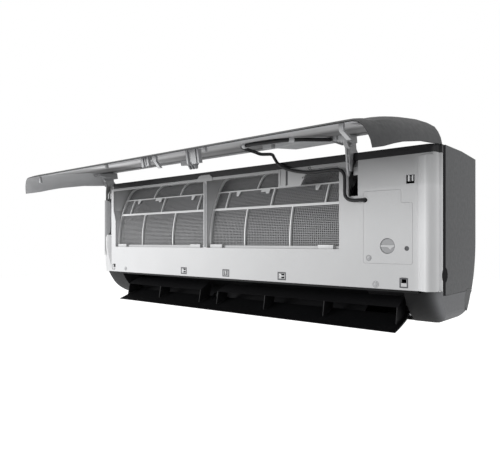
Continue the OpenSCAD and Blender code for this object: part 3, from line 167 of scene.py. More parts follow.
def addRod(bm, start, end, radius, sides=20, endRadius=None):
    start, end = Vector(start), Vector(end)
    turn = (end - start).to_track_quat("Z", "Y").to_matrix().to_4x4()
    place = Matrix.Translation((start + end) / 2) @ turn
    return bmesh.ops.create_cone(
        bm, cap_ends=True, segments=sides, radius1=radius,
        radius2=radius if endRadius is None else endRadius,
        depth=(end - start).length, matrix=place,
    )["verts"]


def roundEdges(bm, width, limit):
    edges = [e for e in bm.edges if len(e.link_faces) == 2 and e.calc_face_angle(0) > math.radians(limit)]
    bmesh.ops.bevel(
        bm, geom=edges, offset=width, offset_type="OFFSET", affect="EDGES", segments=2,
        profile=0.5, material=-1, clamp_overlap=True,
    )


# Materials: every plastic has its own grain, gloss variation and a little dust or wear
def startMaterial(name):
    material = bpy.data.materials.new(name)
    material.use_nodes = True
    tree = material.node_tree
    shader = tree.nodes["Principled BSDF"]
    place = tree.nodes.new("ShaderNodeTexCoord").outputs["Object"]
    return material, tree, shader, place


def addNoise(tree, place, scale, detail=4, rough=0.55):
    noise = tree.nodes.new("ShaderNodeTexNoise")
    noise.inputs["Scale"].default_value = scale
    noise.inputs["Detail"].default_value = detail
    noise.inputs["Roughness"].default_value = rough
    tree.links.new(place, noise.inputs["Vector"])
    return noise.outputs["Fac"]


def addRange(tree, value, low, high, fromLow=0.3, fromHigh=0.7):
    span = tree.nodes.new("ShaderNodeMapRange")
    span.inputs["From Min"].default_value = fromLow
    span.inputs["From Max"].default_value = fromHigh
    span.inputs["To Min"].default_value = low
    span.inputs["To Max"].default_value = high
    tree.links.new(value, span.inputs["Value"])
    return span.outputs["Result"]


def mixColours(tree, factor, first, second):
    mix = tree.nodes.new("ShaderNodeMix")
    mix.data_type = "RGBA"
    tree.links.new(factor, mix.inputs["Factor"])
    for socket, colour in ((mix.inputs[6], first), (mix.inputs[7], second)):
        if isinstance(colour, tuple):
            socket.default_value = (*colour, 1)
        else:
            tree.links.new(colour, socket)
    return mix.outputs[2]


def addBump(tree, shader, height, depth, strength):
    bump = tree.nodes.new("ShaderNodeBump")
    bump.inputs["Strength"].default_value = strength
    bump.inputs["Distance"].default_value = depth
    tree.links.new(height, bump.inputs["Height"])
    tree.links.new(bump.outputs["Normal"], shader.inputs["Normal"])


def shade(colour, factor):
    return tuple(min(1.0, c * factor) for c in colour)


wear = {
    "driftScale": 9, "marksScale": 140, "dust": 0.35, "dustFrom": 0.55, "dustTo": 0.8, "gloss": 0.12,
    "grainStrength": 0.5, "spotScale": 45, "lineDepth": 0.00003, "lineStrength": 0.4,
}


def plastic(name, colour, rough, grain=0.00002, grainScale=2600, vary=0.05, specular=0.5):
    # moulded plastic: fine spark grain, slow gloss and colour drift, faint handling marks
    material, tree, shader, place = startMaterial(name)
    drift = addNoise(tree, place, wear["driftScale"], 3)
    marks = addNoise(tree, place, wear["marksScale"], 6, 0.7)
    tone = addRange(tree, drift, 0, 1)
    base = mixColours(tree, tone, shade(colour, 1 - vary), shade(colour, 1 + vary))
    dust = addRange(tree, marks, 0, wear["dust"], wear["dustFrom"], wear["dustTo"])
    tree.links.new(mixColours(tree, dust, base, shade(colour, 1 + 1.6 * vary)), shader.inputs["Base Color"])
    gloss = addRange(tree, marks, rough * (1 - wear["gloss"]), min(1, rough * (1 + wear["gloss"])))
    tree.links.new(gloss, shader.inputs["Roughness"])
    addBump(tree, shader, addNoise(tree, place, grainScale, 2), grain, wear["grainStrength"])
    shader.inputs["Specular IOR Level"].default_value = specular
    return material


def metal(name, colour, rough, stretch=(1, 1, 1), scale=500, vary=0.08):
    # rolled or drawn metal: lines along one way, spangle and dull spots
    material, tree, shader, place = startMaterial(name)
    mapping = tree.nodes.new("ShaderNodeMapping")
    mapping.inputs["Scale"].default_value = stretch
    tree.links.new(place, mapping.inputs["Vector"])
    lines = addNoise(tree, mapping.outputs["Vector"], scale, 5)
    spots = addNoise(tree, place, wear["spotScale"], 4)
    tone = addRange(tree, spots, 0, 1)
    base = mixColours(tree, tone, shade(colour, 1 - vary), shade(colour, 1 + vary))
    tree.links.new(base, shader.inputs["Base Color"])
    tree.links.new(addRange(tree, lines, rough * 0.75, min(1, rough * 1.3)), shader.inputs["Roughness"])
    addBump(tree, shader, lines, wear["lineDepth"], wear["lineStrength"])
    shader.inputs["Metallic"].default_value = 1
    return material


def gradient(tree, place, axis, stops):
    # soft change of tone along one axis, stops in metres and brightness
    split = tree.nodes.new("ShaderNodeSeparateXYZ")
    tree.links.new(place, split.inputs[0])
    low, high = stops[0][0], stops[-1][0]
    span = addRange(tree, split.outputs[axis], 0, 1, low, high)
    ramp = tree.nodes.new("ShaderNodeValToRGB")
    ramp.color_ramp.interpolation = "B_SPLINE"
    while len(ramp.color_ramp.elements) < len(stops):
        ramp.color_ramp.elements.new(0.5)
    for element, (at, tone) in zip(ramp.color_ramp.elements, stops):
        element.position = (at - low) / (high - low)
        element.color = (tone, tone, tone, 1)
    tree.links.new(span, ramp.inputs[0])
    return ramp.outputs[0]


def multiply(tree, first, second):
    mix = tree.nodes.new("ShaderNodeMix")
    mix.data_type, mix.blend_type = "RGBA", "MULTIPLY"
    mix.inputs["Factor"].default_value = 1
    tree.links.new(first, mix.inputs[6])
    tree.links.new(second, mix.inputs[7])
    return mix.outputs[2]


def paintLightBands(material, *bands):
    # lays bands of painted light and shade over a finish's own colour
    tree = material.node_tree
    shader = tree.nodes["Principled BSDF"]
    place = next(n for n in tree.nodes if n.type == "TEX_COORD").outputs["Object"]
    colour = shader.inputs["Base Color"].links[0].from_socket
    for axis, stops in bands:
        colour = multiply(tree, colour, gradient(tree, place, axis, stops))
    tree.links.new(colour, shader.inputs["Base Color"])
    return material


finishes = {
    "white": plastic("white_abs", (0.48, 0.483, 0.49), 0.4, specular=0.4),
    # frame: painted light and shade, lighter on the left and on the recessed faces, a light band at mid height,
    # darker towards the top, highlight bands on the right column
    "frame": paintLightBands(
        plastic("frame_abs_painted_light", (0.64, 0.644, 0.652), 0.42, 0.000004, 1500, 0.02, specular=0.35),
        ("X", [
            (-0.45, 1.0), (-0.3, 1.0), (0, 0.81), (0.2, 0.72), (0.41, 0.72), (0.422, 0.98), (0.43, 1.1),
            (0.437, 0.88), (0.443, 0.9), (0.45, 0.9),
        ]),
        ("Z", [
            (-0.09, 0.96), (0, 0.98), (0.03, 1.14), (0.06, 1.32), (0.072, 1.12), (0.083, 0.88), (0.11, 0.76),
            (0.14, 0.54),
        ]),
        ("Y", [(-0.2, 0.72), (-0.186, 0.72), (-0.178, 0.9), (-0.14, 1.0)]),
    ),
    "white2": plastic("plain_abs", (0.44, 0.443, 0.45), 0.5, specular=0.4),
    "knob": plastic("knob_grey", (0.19, 0.192, 0.197), 0.4, specular=0.4),
    # panel: painted shade, dark bands across both curved ends and darker towards the curled foot
    "panel": paintLightBands(
        plastic("panel_grey_painted_shade", (0.042, 0.043, 0.045), 0.48, 0.000002, 900, 0.02, 0.15),
        ("X", [
            (-0.45, 0.8), (-0.425, 0.45), (-0.405, 0.3), (-0.38, 0.7), (-0.34, 1.15), (0.32, 1.15), (0.37, 0.45),
            (0.395, 0.12), (0.42, 0.4), (0.436, 0.8), (0.45, 0.9),
        ]),
        ("Y", [(-0.41, 0.7), (-0.37, 0.8), (-0.3, 1.0), (-0.19, 1.1)]),
    ),
    # inner: a lighter copy of the panel grey, painted light for the underside
    "inner": plastic("panel_inner_painted_light", (0.44, 0.443, 0.452), 0.5, specular=0.1),
    "side": plastic("side_grey", (0.041, 0.0425, 0.045), 0.48, 0.000002, 900, 0.01, specular=0.25),
    "dark": plastic("outlet_dark", (0.012, 0.012, 0.013), 0.5, specular=0.25),
    # chin: painted light, lighter at the left and on the right corner, dark between
    "chin": paintLightBands(
        plastic("chin_grey_painted_light", (0.125, 0.127, 0.132), 0.5, 0.000002, 900, 0.02, 0.08),
        ("X", [
            (-0.45, 0.24), (-0.43, 0.14), (0.4, 0.032), (0.42, 0.054), (0.43, 0.16), (0.438, 0.5), (0.444, 1.0),
            (0.45, 1.0),
        ]),
    ),
    "seal": plastic("seal_rubber", (0.01, 0.01, 0.011), 0.75, specular=0.03),
    # wall: grey for painted shade round the knob and screws, on the post's side and over the left column's arm
    # pocket
    "wall": plastic("painted_shade_grey", (0.19, 0.192, 0.197), 0.5, specular=0.2),
    "deep": plastic("flap_black", (0.003, 0.003, 0.0034), 0.55, specular=0.08),
    "hood": plastic("hood_black", (0.006, 0.006, 0.0066), 0.5, specular=0.12),
    "black": plastic("strip_black", (0.008, 0.008, 0.009), 0.42, specular=0.2),
    # liner: dark, also painted shade round the sockets and in the bracket's slot and screw recesses
    "liner": plastic("liner_dark_and_painted_shade", (0.045, 0.046, 0.05), 0.45, specular=0.3),
    "box": plastic("box_grey", (0.40, 0.405, 0.415), 0.42, specular=0.4),
    # bar: painted light and shade, light away from the hinge, darkest near it, with bands over its waves and
    # lighter at the left
    "bar": paintLightBands(
        plastic("bar_grey_painted_light", (0.88, 0.88, 0.89), 0.5, specular=0.06),
        ("Y", [
            (-0.37, 1.0), (-0.345, 1.05), (-0.326, 0.88), (-0.306, 0.6), (-0.286, 0.35), (-0.266, 0.38),
            (-0.246, 0.56), (-0.226, 0.22), (-0.207, 0.12), (-0.187, 0.3),
        ]),
        ("X", [
            (-0.42, 0.28), (-0.26, 0.3), (-0.215, 1.0), (-0.153, 1.0), (-0.1, 0.9), (0.012, 0.64), (0.1, 0.55),
            (0.178, 0.47), (0.42, 0.45),
        ]),
    ),
    "arm": plastic("arm_grey", (0.27, 0.273, 0.28), 0.4, specular=0.4),
    # rib: painted shade, darker along the sill below the filters
    "rib": paintLightBands(
        plastic("filter_rib_painted_shade", (0.64, 0.645, 0.65), 0.45, specular=0.3),
        ("Z", [(-0.03, 0.62), (-0.018, 0.62), (-0.013, 1.0)]),
    ),
    "mesh": plastic("filter_net", (0.20, 0.201, 0.205), 0.55, specular=0.3),
    "steel": metal("zinc_steel", (0.36, 0.365, 0.37), 0.42),
    "fin": metal("fin_stock", (0.26, 0.263, 0.27), 0.5, (1, 0.05, 1), 900),
    "copper": metal("copper_tube", (0.72, 0.36, 0.2), 0.32),
    "tinned": metal("tinned_tube", (0.5, 0.5, 0.51), 0.4),
    "rubber": plastic("black_rubber", (0.012, 0.012, 0.013), 0.62, specular=0.25),
    "board": plastic("board_green", (0.02, 0.09, 0.035), 0.45),
    "fan": plastic("fan_plastic", (0.03, 0.034, 0.04), 0.45),
}
print("materials made", len(finishes))


def dressNodes():
    # carried-over CAD nodes take the finish of their record slot, the vanes and the coil's bends their own
    for name, node in nodes.items():
        own = "deep" if name.startswith("vane") else "tinned" if name == "coil_bends" else slots[name]
        node.data.materials.clear()
        node.data.materials.append(finishes[own])


dressNodes()


# Pieces are placed in millimetres: across, depth behind the flat front, height
flatFront = -0.187
pivot = Vector((0, -0.172, 0.139))  # hinge pin of the front panel
openAngle = 80.6
lift = Matrix.Rotation(math.radians(-openAngle), 4, "X")
turnUp = Matrix.Translation(pivot) @ lift @ Matrix.Translation(-pivot)


def spot(x, d, z):
    return Vector((x / 1000, flatFront + d / 1000, z / 1000))


def cablePath():
    return smoothPath([spot(*place) for place in cable["route"]], cable["steps"])


def makeCable():
    path = cablePath()
    bm = bmesh.new()
    sweepTube(bm, path, cable["radius"], cable["sides"])
    piece = finishPiece("displayCable", bm, None, [finishes["rubber"]], ("display_cable",), 60)
    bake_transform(piece)


makeCable()

# Smooth skins: rounded copies of the moulded CAD pieces, in their places.
# Each has the round's width, the least angle it rounds, the angle it shades over, and its finish.
skins = {
    "side_panel_left": (0.0006, 30, 35, "side"), "side_panel_right": (0.0006, 30, 35, "side"),
    "front_frame": (0.0004, 35, 30, "frame"), "lower_casing": (0.0005, 30, 35, "chin"),
    "top_strip": (0.0004, 30, 30, "black"), "top_grille": (0.0003, 40, 30, "side"),
    "flap": (0.0004, 40, 30, "deep"), "flap_hood_left": (0.0004, 40, 30, "hood"),
    "flap_hood_right": (0.0004, 40, 30, "hood"), "panel_arm_left": (0.0006, 30, 35, "arm"),
    "panel_arm_right": (0.0006, 30, 35, "arm"), "control_cover": (0.0005, 40, 30, "frame"),
    "filter_frame_left": (0.0003, 40, 30, "rib"), "filter_frame_right": (0.0003, 40, 30, "rib"),
}
gasketRoom = {"from": 0.4499, "scale": 0.9991}  # the columns' outer faces go in for the gaskets


def skin(node, width, limit, smooth, finish):
    # merged copy with small rounds on its edges
    bm = bmesh.new()
    bm.from_mesh(nodes[node].data)
    bmesh.ops.transform(bm, matrix=nodes[node].matrix_world, verts=bm.verts)
    bmesh.ops.remove_doubles(bm, verts=bm.verts, dist=shading["mergeWithin"])
    flat = math.radians(shading["flatWithin"])
    bmesh.ops.dissolve_limit(bm, angle_limit=flat, verts=bm.verts, edges=bm.edges)
    if node == "front_frame":
        for v in bm.verts:
            if abs(v.co.x) > gasketRoom["from"]:
                v.co.x *= gasketRoom["scale"]
    roundEdges(bm, width, limit)
    markSharp(bm, smooth)
    bmesh.ops.triangulate(bm, faces=[f for f in bm.faces if len(f.verts) > 4])
    finishPiece(node + "_skin", bm, bodyOf[node], [finishes[finish]], (node,), 0)


for node, values in skins.items():
    skin(node, *values)
print("skins made", len(skins))


def box(bm, low, high):
    low, high = spot(*low), spot(*high)
    made = bmesh.ops.create_cube(bm, size=1)["verts"]
    bmesh.ops.scale(bm, vec=high - low, verts=made)
    bmesh.ops.translate(bm, vec=(low + high) / 2, verts=made)
    return made


def extrudeOutline(bm, corners, along):
    face = bm.faces.new([bm.verts.new(corner) for corner in corners])
    made = bmesh.ops.extrude_face_region(bm, geom=[face])["geom"]
    bmesh.ops.translate(bm, vec=along, verts=[v for v in made if isinstance(v, bmesh.types.BMVert)])


def prism(bm, outline, start, end):
    # outline in depth and height, drawn out across
    extrudeOutline(bm, [spot(start, d, z) for d, z in outline], Vector(((end - start) / 1000, 0, 0)))


def plate(bm, outline, front, back):
    # outline across and in height, drawn out in depth
    extrudeOutline(bm, [spot(x, front, z) for x, z in outline], Vector((0, (back - front) / 1000, 0)))


def repeatAcross(bm, count, step):
    # copies what the mesh holds, each copy one step further along
    first = list(bm.faces) + list(bm.edges) + list(bm.verts)
    for k in range(1, count + 1):
        copy = bmesh.ops.duplicate(bm, geom=first)["geom"]
        moved = [v for v in copy if isinstance(v, bmesh.types.BMVert)]
        bmesh.ops.translate(bm, vec=(k * step, 0, 0), verts=moved)


def finishParts(name, bm, body, finish, replaced=(), width=0.4, raised=False, smooth=35):
    # width is the round on the edges; a raised piece is drawn on the shut panel and turned up with it
    bmesh.ops.recalc_face_normals(bm, faces=bm.faces)
    if width:
        roundEdges(bm, width / 1000, shading["roundFrom"])
    if raised:
        bmesh.ops.transform(bm, matrix=turnUp, verts=bm.verts)
    finishPiece(name, bm, body, [finishes[finish]], replaced, smooth)


# Raised panel: one smooth shell, grey outside and inside a lighter grey painted for the light the underside
# catches
shell = {
    "half": 450, "end": 50, "flatShare": 0.8, "flat": -27.5, "crown": 10, "blend": 8, "tip": 3.4,
    "low": -94.5, "high": 142.5, "curlTop": -50, "curlBow": 3, "foot": -25, "drop": 5, "dropFrom": 100,
    "across": 76, "up": 44, "closer": 0.35, "wall": 0.0013, "thicker": 0.0011, "thickenOver": 12,
    "rim": [(-94.5, 11.4), (-60, 10), (-30, 7), (0, 5), (60, 5), (97, 8), (142.5, 11)],
}


def between(table, at):
    for (a, first), (b, second) in zip(table, table[1:]):
        if at <= b:
            return first + (second - first) * (at - a) / (b - a)
    return table[-1][1]


def profileDepth(z):
    # side view: crowned face, curled foot and a soft top edge
    if z >= shell["curlTop"]:
        t = (z - shell["curlTop"]) / (shell["high"] - shell["curlTop"])
        depth = shell["flat"] - 4 * shell["crown"] * t * (1 - t)
    else:
        t = (z - shell["low"]) / (shell["curlTop"] - shell["low"])
        depth = shell["foot"] + (shell["flat"] - shell["foot"]) * t - 4 * shell["curlBow"] * t * (1 - t)
    fall = max(0, (z - shell["dropFrom"]) / (shell["high"] - shell["dropFrom"]))
    return depth + shell["drop"] * fall * fall


def shellPoint(s, z):
    # s runs from -1 to 1 round the section, in millimetres
    rim, share = between(shell["rim"], z), shell["flatShare"]
    deepest, nearest = rim + shell["tip"], shell["flat"] - shell["crown"]
    span = deepest - nearest
    angle = max(0, (abs(s) - share) / (1 - share)) * math.acos((deepest - rim) / span)
    x = min(1, abs(s) / share) * (shell["half"] - shell["end"]) + shell["end"] * math.sin(angle)
    plan, side = deepest - span * math.cos(angle), profileDepth(z)
    mix = max(shell["blend"] - abs(plan - side), 0) / shell["blend"]
    return Vector((math.copysign(x, s), max(plan, side) + mix * mix * shell["blend"] / 4, z))


def faceFront(bm):
    # turns an open sheet's faces towards the room
    bmesh.ops.recalc_face_normals(bm, faces=bm.faces)
    if sum(f.normal.y for f in bm.faces) > 0:
        bmesh.ops.reverse_faces(bm, faces=bm.faces)


def makeShell():
    bm = bmesh.new()
    bmesh.ops.create_grid(bm, x_segments=shell["across"], y_segments=shell["up"], size=1)
    for v in bm.verts:
        t = (v.co.y + 1) / 2
        share = t * t * shell["closer"] + t * (1 - shell["closer"])  # rows lie closer towards the curled foot
        v.co = spot(*shellPoint(v.co.x, shell["low"] + (shell["high"] - shell["low"]) * share))
    faceFront(bm)
    bm.normal_update()
    outer = list(bm.verts)
    walls = {}
    for v in outer:
        share = min(1, (v.co.z * 1000 - shell["low"]) / shell["thickenOver"])
        walls[v] = v.normal * (shell["wall"] + shell["thicker"] * share)
    copied = bmesh.ops.duplicate(bm, geom=list(bm.faces) + list(bm.edges) + outer)
    for v in outer:
        copied["vert_map"][v].co = v.co - walls[v]
    inner = [f for f in copied["geom"] if isinstance(f, bmesh.types.BMFace)]
    bmesh.ops.reverse_faces(bm, faces=inner)
    for f in inner:
        f.material_index = 1
    bmesh.ops.bridge_loops(bm, edges=[e for e in bm.edges if len(e.link_faces) == 1])
    bmesh.ops.transform(bm, matrix=turnUp, verts=bm.verts)
    finishPiece("panel_shell", bm, "panel", [finishes["panel"], finishes["inner"]], ("front_panel",), 35)


# Long moulded bar under the raised panel, with two shallow waves
bar = {
    "half": 396,
    "wave": [
        (-26.4, -56), (-25.2, -48), (-24.7, -20), (-24.6, 20), (-24.4, 50), (-23.2, 62), (-22.6, 70),
        (-22.3, 78), (-22.0, 88), (-22.2, 98), (-23.0, 104), (-22.6, 109), (-22.1, 117), (-22.2, 126),
        (-22.6, 133), (-24.6, 136.5),
    ],
    "back": [(-25.2, 136.5), (-26.8, 100), (-26.8, -56)],
}


def makeLinerBar():
    bm = bmesh.new()
    prism(bm, bar["wave"] + bar["back"], -bar["half"], bar["half"])
    finishParts("liner_bar", bm, "panel", "bar", ("panel_liner",), 0, True, 50)


# Catches near the panel's lower edge, each from one side to the other and down to a depth
catches = {
    "back": -26.5, "foot": -79, "head": -73.5,
    "tongues": [(-135.5, -130, -18), (-19, -13, -8.5), (-9.5, -6, -12), (-3.5, 2, -9.5), (145, 149, -18)],
    "webs": [
        ((-19, -26, -73), (2, -20, -69)), ((-15, -13, -76), (-7, -8.8, -72)), ((-12, -24, -75), (0, -20, -73)),
    ],
    "hooks": [(16, 7.5), (396, 7)], "hookHeights": (-79, -74), "hookRoot": (-25.5, -15),
    "hookFrom": -15.2, "hookLean": (0.010, 0.0125, 0),
    "latch": (-408, -401), "latchOutline": [(-24, -79), (-10, -79), (-8, -74), (-24, -74)],
}

# Stay in the middle: a ribbed bracket by the hinge, and the tall block that leans on the liner
stay = {
    "plates": [((-110, -22.5, 100), (-84, -12, 103)), ((-109, -13, 118), (-85, -10.5, 131))],
    "ribs": [(-110, -106), (-100, -92), (-88, -84)], "rib": ((-22.5, 100.5), (-11.5, 131)),
    "lobes": [(-107.5, -104.5), (-97.6, -95.4), (-89.5, -86.5)],
    "lobe": [(-11, 118), (-2.5, 122), (-1.6, 125), (-2.5, 129), (-11, 131)],
    "pin": ((-107, -11, 126), (-87, -3, 128)),
    "block": ((86, -26.5, -59), (114, -6, -57)),
    "blockRibs": [(84, 88), (96, 108), (111, 115)], "blockRib": ((-26.5, -62), (-2.5, -54)),
}


def makeBrackets():
    bm = bmesh.new()
    for left, right, depth in catches["tongues"]:
        box(bm, (left, catches["back"], catches["foot"]), (right, depth, catches["head"]))
    for low, high in catches["webs"]:
        box(bm, low, high)
    root, tip = catches["hookRoot"]
    low, high = catches["hookHeights"]
    for x, width in catches["hooks"]:
        # a straight root, and a foot that leans to the right as it goes deeper
        prism(bm, [(root, low), (tip, low), (tip, high), (root, high)], x, x + width)
        corners = [(x, low), (x, high), (x + width, high), (x + width, low)]
        face = [spot(across, catches["hookFrom"], z) for across, z in corners]
        extrudeOutline(bm, face, Vector(catches["hookLean"]))
    prism(bm, catches["latchOutline"], *catches["latch"])
    finishParts("panel_catches", bm, "panel", "arm", ("panel_hooks",), 0.5, True)
    bm = bmesh.new()
    for low, high in stay["plates"] + [stay["pin"], stay["block"]]:
        box(bm, low, high)
    for spans, (low, high) in ((stay["ribs"], stay["rib"]), (stay["blockRibs"], stay["blockRib"])):
        for left, right in spans:
            box(bm, (left, *low), (right, *high))
    for left, right in stay["lobes"]:
        prism(bm, stay["lobe"], left, right)
    finishParts("panel_stay", bm, "panel", "arm", (), 0.4, True)


# Receiver box: a wedge with a hinge block on its left and a round boss on its right
receiver = {
    "top": [(185, -26.6, 60), (277, -26.6, 60), (290, -26.6, 122), (185, -26.6, 122)],
    "under": [(185.4, -15.5, 60), (274.3, -21.2, 60), (288.5, -12.9, 120), (189, -11.6, 120)],
    "blocks": [((160, -26.6, 56), (180, -16.2, 82)), ((163, -24, 82), (186, -17.5, 112))],
    "boss": (304, 96), "steps": [(-26, -13, 0.011, 40), (-13.2, -11, 0.006, 30)],
    "wall": ((290, -26, 84), (296, -15, 118)),
}


def makeReceiver():
    bm = bmesh.new()
    made = [bm.verts.new(spot(*corner)) for corner in receiver["top"] + receiver["under"]]
    bmesh.ops.convex_hull(bm, input=made)
    for low, high in receiver["blocks"]:
        box(bm, low, high)
    finishParts("receiver_box", bm, "panel", "box", ("display_box",), 1.2, True)
    bm = bmesh.new()
    x, z = receiver["boss"]
    for front, back, radius, sides in receiver["steps"]:
        addRod(bm, spot(x, front, z), spot(x, back, z), radius, sides)
    box(bm, *receiver["wall"])
    finishParts("receiver_boss", bm, "panel", "box", (), 0.5, True)


# Light clips that hold the display cable under the panel: place across and height of the post
clips = {
    "places": [(191, 0.0062), (268, 0.0095)], "half": 0.0042, "radius": 0.0047,
    "post": (0.0042, 0.0055), "postFrom": 0.002, "postLean": 0.001, "search": (5, 45), "farthest": -0.3,
}


def makeClips():
    bm = bmesh.new()
    path = cablePath()
    for x, height in clips["places"]:
        # the nearest point of the cable's front run
        run = range(*clips["search"])
        at = min(run, key=lambda i: abs(path[i].x - x / 1000) + (path[i].y >= clips["farthest"]))
        a, b = path[at - 1], path[at + 1]
        middle, along = (a + b) / 2, (b - a).normalized() * clips["half"]
        sweepTube(bm, [middle - along, middle, middle + along], clips["radius"], 24)
        low = middle + Vector((0, 0, clips["postFrom"]))
        high = middle + Vector((0, clips["postLean"], height))
        addRod(bm, low, high, clips["post"][0], 16, clips["post"][1])
    finishPiece("cable_hooks", bm, "panel", [finishes["box"]], ("cable_clips",), 40)


# Black seals on the columns' outer faces, with a round pad for the thumb on the right one
gasket = {
    "front": 21.5, "back": 32.4, "inner": 447.4, "outer": 450, "pad": (29.6, -63), "padRadius": 12, "steps": 8,
}


def padArc(edge, turn):
    # the pad's outline outside the seal's edge, from the lower point up or from the upper point down
    radius, steps, (d, z) = gasket["padRadius"], gasket["steps"], gasket["pad"]
    reach = math.acos((edge - d) / radius * turn)
    arc = [reach * (1 - k / steps) * turn for k in range(2 * steps + 1)]
    return [(d + turn * radius * math.cos(a), z + radius * math.sin(a)) for a in arc]


def makeGaskets():
    for side, sign in (("left", -1), ("right", 1)):
        low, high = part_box("corner_seal_" + side)
        bottom, top, front, back = low.z * 1000, high.z * 1000, gasket["front"], gasket["back"]
        ends = [(back, bottom), (front, bottom)]
        outline = [(front, top), (back, top)]
        outline += padArc(back, 1) + ends + padArc(front, -1) if sign > 0 else ends
        bm = bmesh.new()
        prism(bm, outline, sign * gasket["inner"], sign * gasket["outer"])
        finishParts("corner_gasket_" + side, bm, "unit", "seal", ("corner_seal_" + side,), 0.3)


# Ribbed feet that carry the two arms, and the straight column of the right arm
feet = {
    "left": {
        "span": (-428, -398), "core": [(-20, 80), (-16.4, 84), (-5, 126), (-6, 131), (-19, 131)],
        "ribs": (-426, -419, -412, -405, -398.5),
        "rib": [(-21, 78), (-14.5, 81), (-3.6, 127), (-4, 132), (-19, 132)],
    },
    "right": {
        "span": (284, 310), "core": [(-26, 90), (-16, 92), (-9, 126), (-10, 130), (-20, 130), (-26, 112)],
        "ribs": (282, 288.5, 299, 307.5),
        "rib": [(-26, 88), (-14.5, 90), (-7.6, 126), (-8, 131), (-20, 131), (-26, 112)],
    },
    "ribWidth": 2.6,
}
column = {
    "blade": [
        (-15, 168), (-4, 168), (-2, 150), (3, 139), (0, 126), (-1.5, 108), (-3.5, 103), (-7, 106), (-10, 122),
        (-13, 145),
    ],
    "bladeSpan": (295.1, 298.6),
    "upper": [(-12, 168), (-4, 168), (-3.4, 154.5), (-10.5, 154.5)], "upperSpan": (298.2, 309.5),
    "lower": [(-10.5, 154.5), (-2.2, 154.5), (2.4, 139), (0, 126), (-1.5, 112), (-6, 112), (-8, 122)],
    "lowerSpan": (298.2, 302.6),
    "edge": [(-11.9, 153), (-9.4, 153), (-6.6, 122), (-4.6, 112), (-7.4, 112), (-9.4, 122)],
    "edgeSpan": (301.3, 302.6),
    "ribs": (301.4, 308), "ribWidth": 1.6, "proud": 1.4,
    "rungs": [(155, 309.5), (138, 302.6), (124, 302.6)], "rungDepths": (-12.4, -5),
}


def makeArmDress():
    for side in ("left", "right"):
        foot = feet[side]
        bm = bmesh.new()
        prism(bm, foot["core"], *foot["span"])
        for x in foot["ribs"]:
            prism(bm, foot["rib"], x, x + feet["ribWidth"])
        finishParts("arm_foot_" + side, bm, "panel", "arm", (), 0.5, True)
    bm = bmesh.new()
    for part in ("blade", "upper", "lower", "edge"):
        prism(bm, column[part], *column[part + "Span"])
    for x in column["ribs"]:
        prism(bm, [(d - column["proud"], z) for d, z in column["upper"]], x, x + column["ribWidth"])
    front, back = column["rungDepths"]
    for z, right in column["rungs"]:
        top = z + column["ribWidth"]
        prism(bm, [(front, z), (back, z), (back, top), (front, top)], column["upperSpan"][0], right)
    finishParts("arm_column_right", bm, "panel", "arm", (), 0.4)


makeShell()
makeLinerBar()
makeBrackets()
makeReceiver()
makeClips()
makeArmDress()
makeGaskets()
print("panel underside dressed")

# Knob with two sunk half moons, a raised bar and a pointer
knob = {
    "place": (366.5, -16.9), "radius": 12.2, "sides": 64, "depths": (0.9, 6), "bar": (11.9, 1.5),
    "barDepths": (0.05, 5), "pointer": [(-1, -1), (10.6, -1), (5, -6)], "pointerDepths": (0.35, 3),
}

# Catch sockets across the front: place, half width, half height and rim of each, and the bars inside them; the
# rims are dark borders of painted shade for each socket's chamfer
sockets = {
    "rims": [
        (-131.7, -76.2, 10, 7.8, 2.6), (0.8, -76.2, 10, 7.8, 2.6), (149.1, -76.2, 10, 7.8, 2.6),
        (394.8, -76.5, 7.2, 8.2, 2.2), (-408, -76.3, 6, 7, 1.6),
    ],
    "upright": [((-2.7, 0.4, -80), (-0.2, 6, -72)), ((2.8, 0.8, -80), (4.3, 6, -72))],
    "crossed": [((-5.6, 0.3, -77), (5.6, 6, -75)), ((-6, 0.3, -80.4), (-2, 5, -72))],
    "crossedAt": (-131.7, 149.1),
    "latch": [((401.5, 0.4, 87), (404, 7, 96.5)), ((408, 0.4, 87), (410, 7, 96.5))],
    "rimDepths": (-0.12, 0.3),
}

# Front screws: place, inner radius of the ring round each, and the ring's width
screws = {
    "places": [(333.1, -37.4, 4.4, 1.0), (345.8, -81.2, 5.0, 1.2), (-355, -79.3, 4.4, 1.0)],
    "rods": [(-0.2, 1.2, 3.5, 40), (1, 9, 1.5, 20)],  # head and thread: front, back, radius, sides
    "slot": (2.3, 0.35), "slotDepths": (-0.35, -0.1), "slotTurns": (0.6, 2.17),
    "knobRing": (0.4, 0.7), "ringDepths": (-0.15, 0.05), "ringSides": 48,
}


def makeKnob():
    x, z = knob["place"]
    front, back = knob["depths"]
    bm = bmesh.new()
    addRod(bm, spot(x, front, z), spot(x, back, z), knob["radius"] / 1000, knob["sides"])
    finishParts("knob_face", bm, "knob", "knob", ("turn_knob",), 0.25)
    half, thick = knob["bar"]
    front, back = knob["barDepths"]
    bm = bmesh.new()
    box(bm, (x - half, front, z - thick), (x + half, back, z + thick))
    plate(bm, [(x + across, z + up) for across, up in knob["pointer"]], *knob["pointerDepths"])
    finishParts("knob_bar", bm, "knob", "frame", (), 0.25)


def makeSocketRims():
    # dark borders round the sockets, painted shade of their chamfers
    bm = bmesh.new()
    front, back = sockets["rimDepths"]
    for cx, cz, w, h, t in sockets["rims"]:
        for x0, z0, x1, z1 in (
            (cx - w, cz - h, cx - w + t, cz + h), (cx + w - t, cz - h, cx + w, cz + h),
            (cx - w + t, cz + h - t, cx + w - t, cz + h), (cx - w + t, cz - h, cx + w - t, cz - h + t),
        ):
            box(bm, (x0, front, z0), (x1, back, z1))
    finishParts("socket_shade_borders", bm, "unit", "liner", (), 0)


def makeSocketBars():
    bm = bmesh.new()
    for x in sockets["crossedAt"]:
        for (x0, d0, z0), (x1, d1, z1) in sockets["crossed"]:
            box(bm, (x + x0, d0, z0), (x + x1, d1, z1))
    for low, high in sockets["upright"] + sockets["latch"]:
        box(bm, low, high)
    finishParts("socket_bars", bm, "unit", "white", (), 0.2)


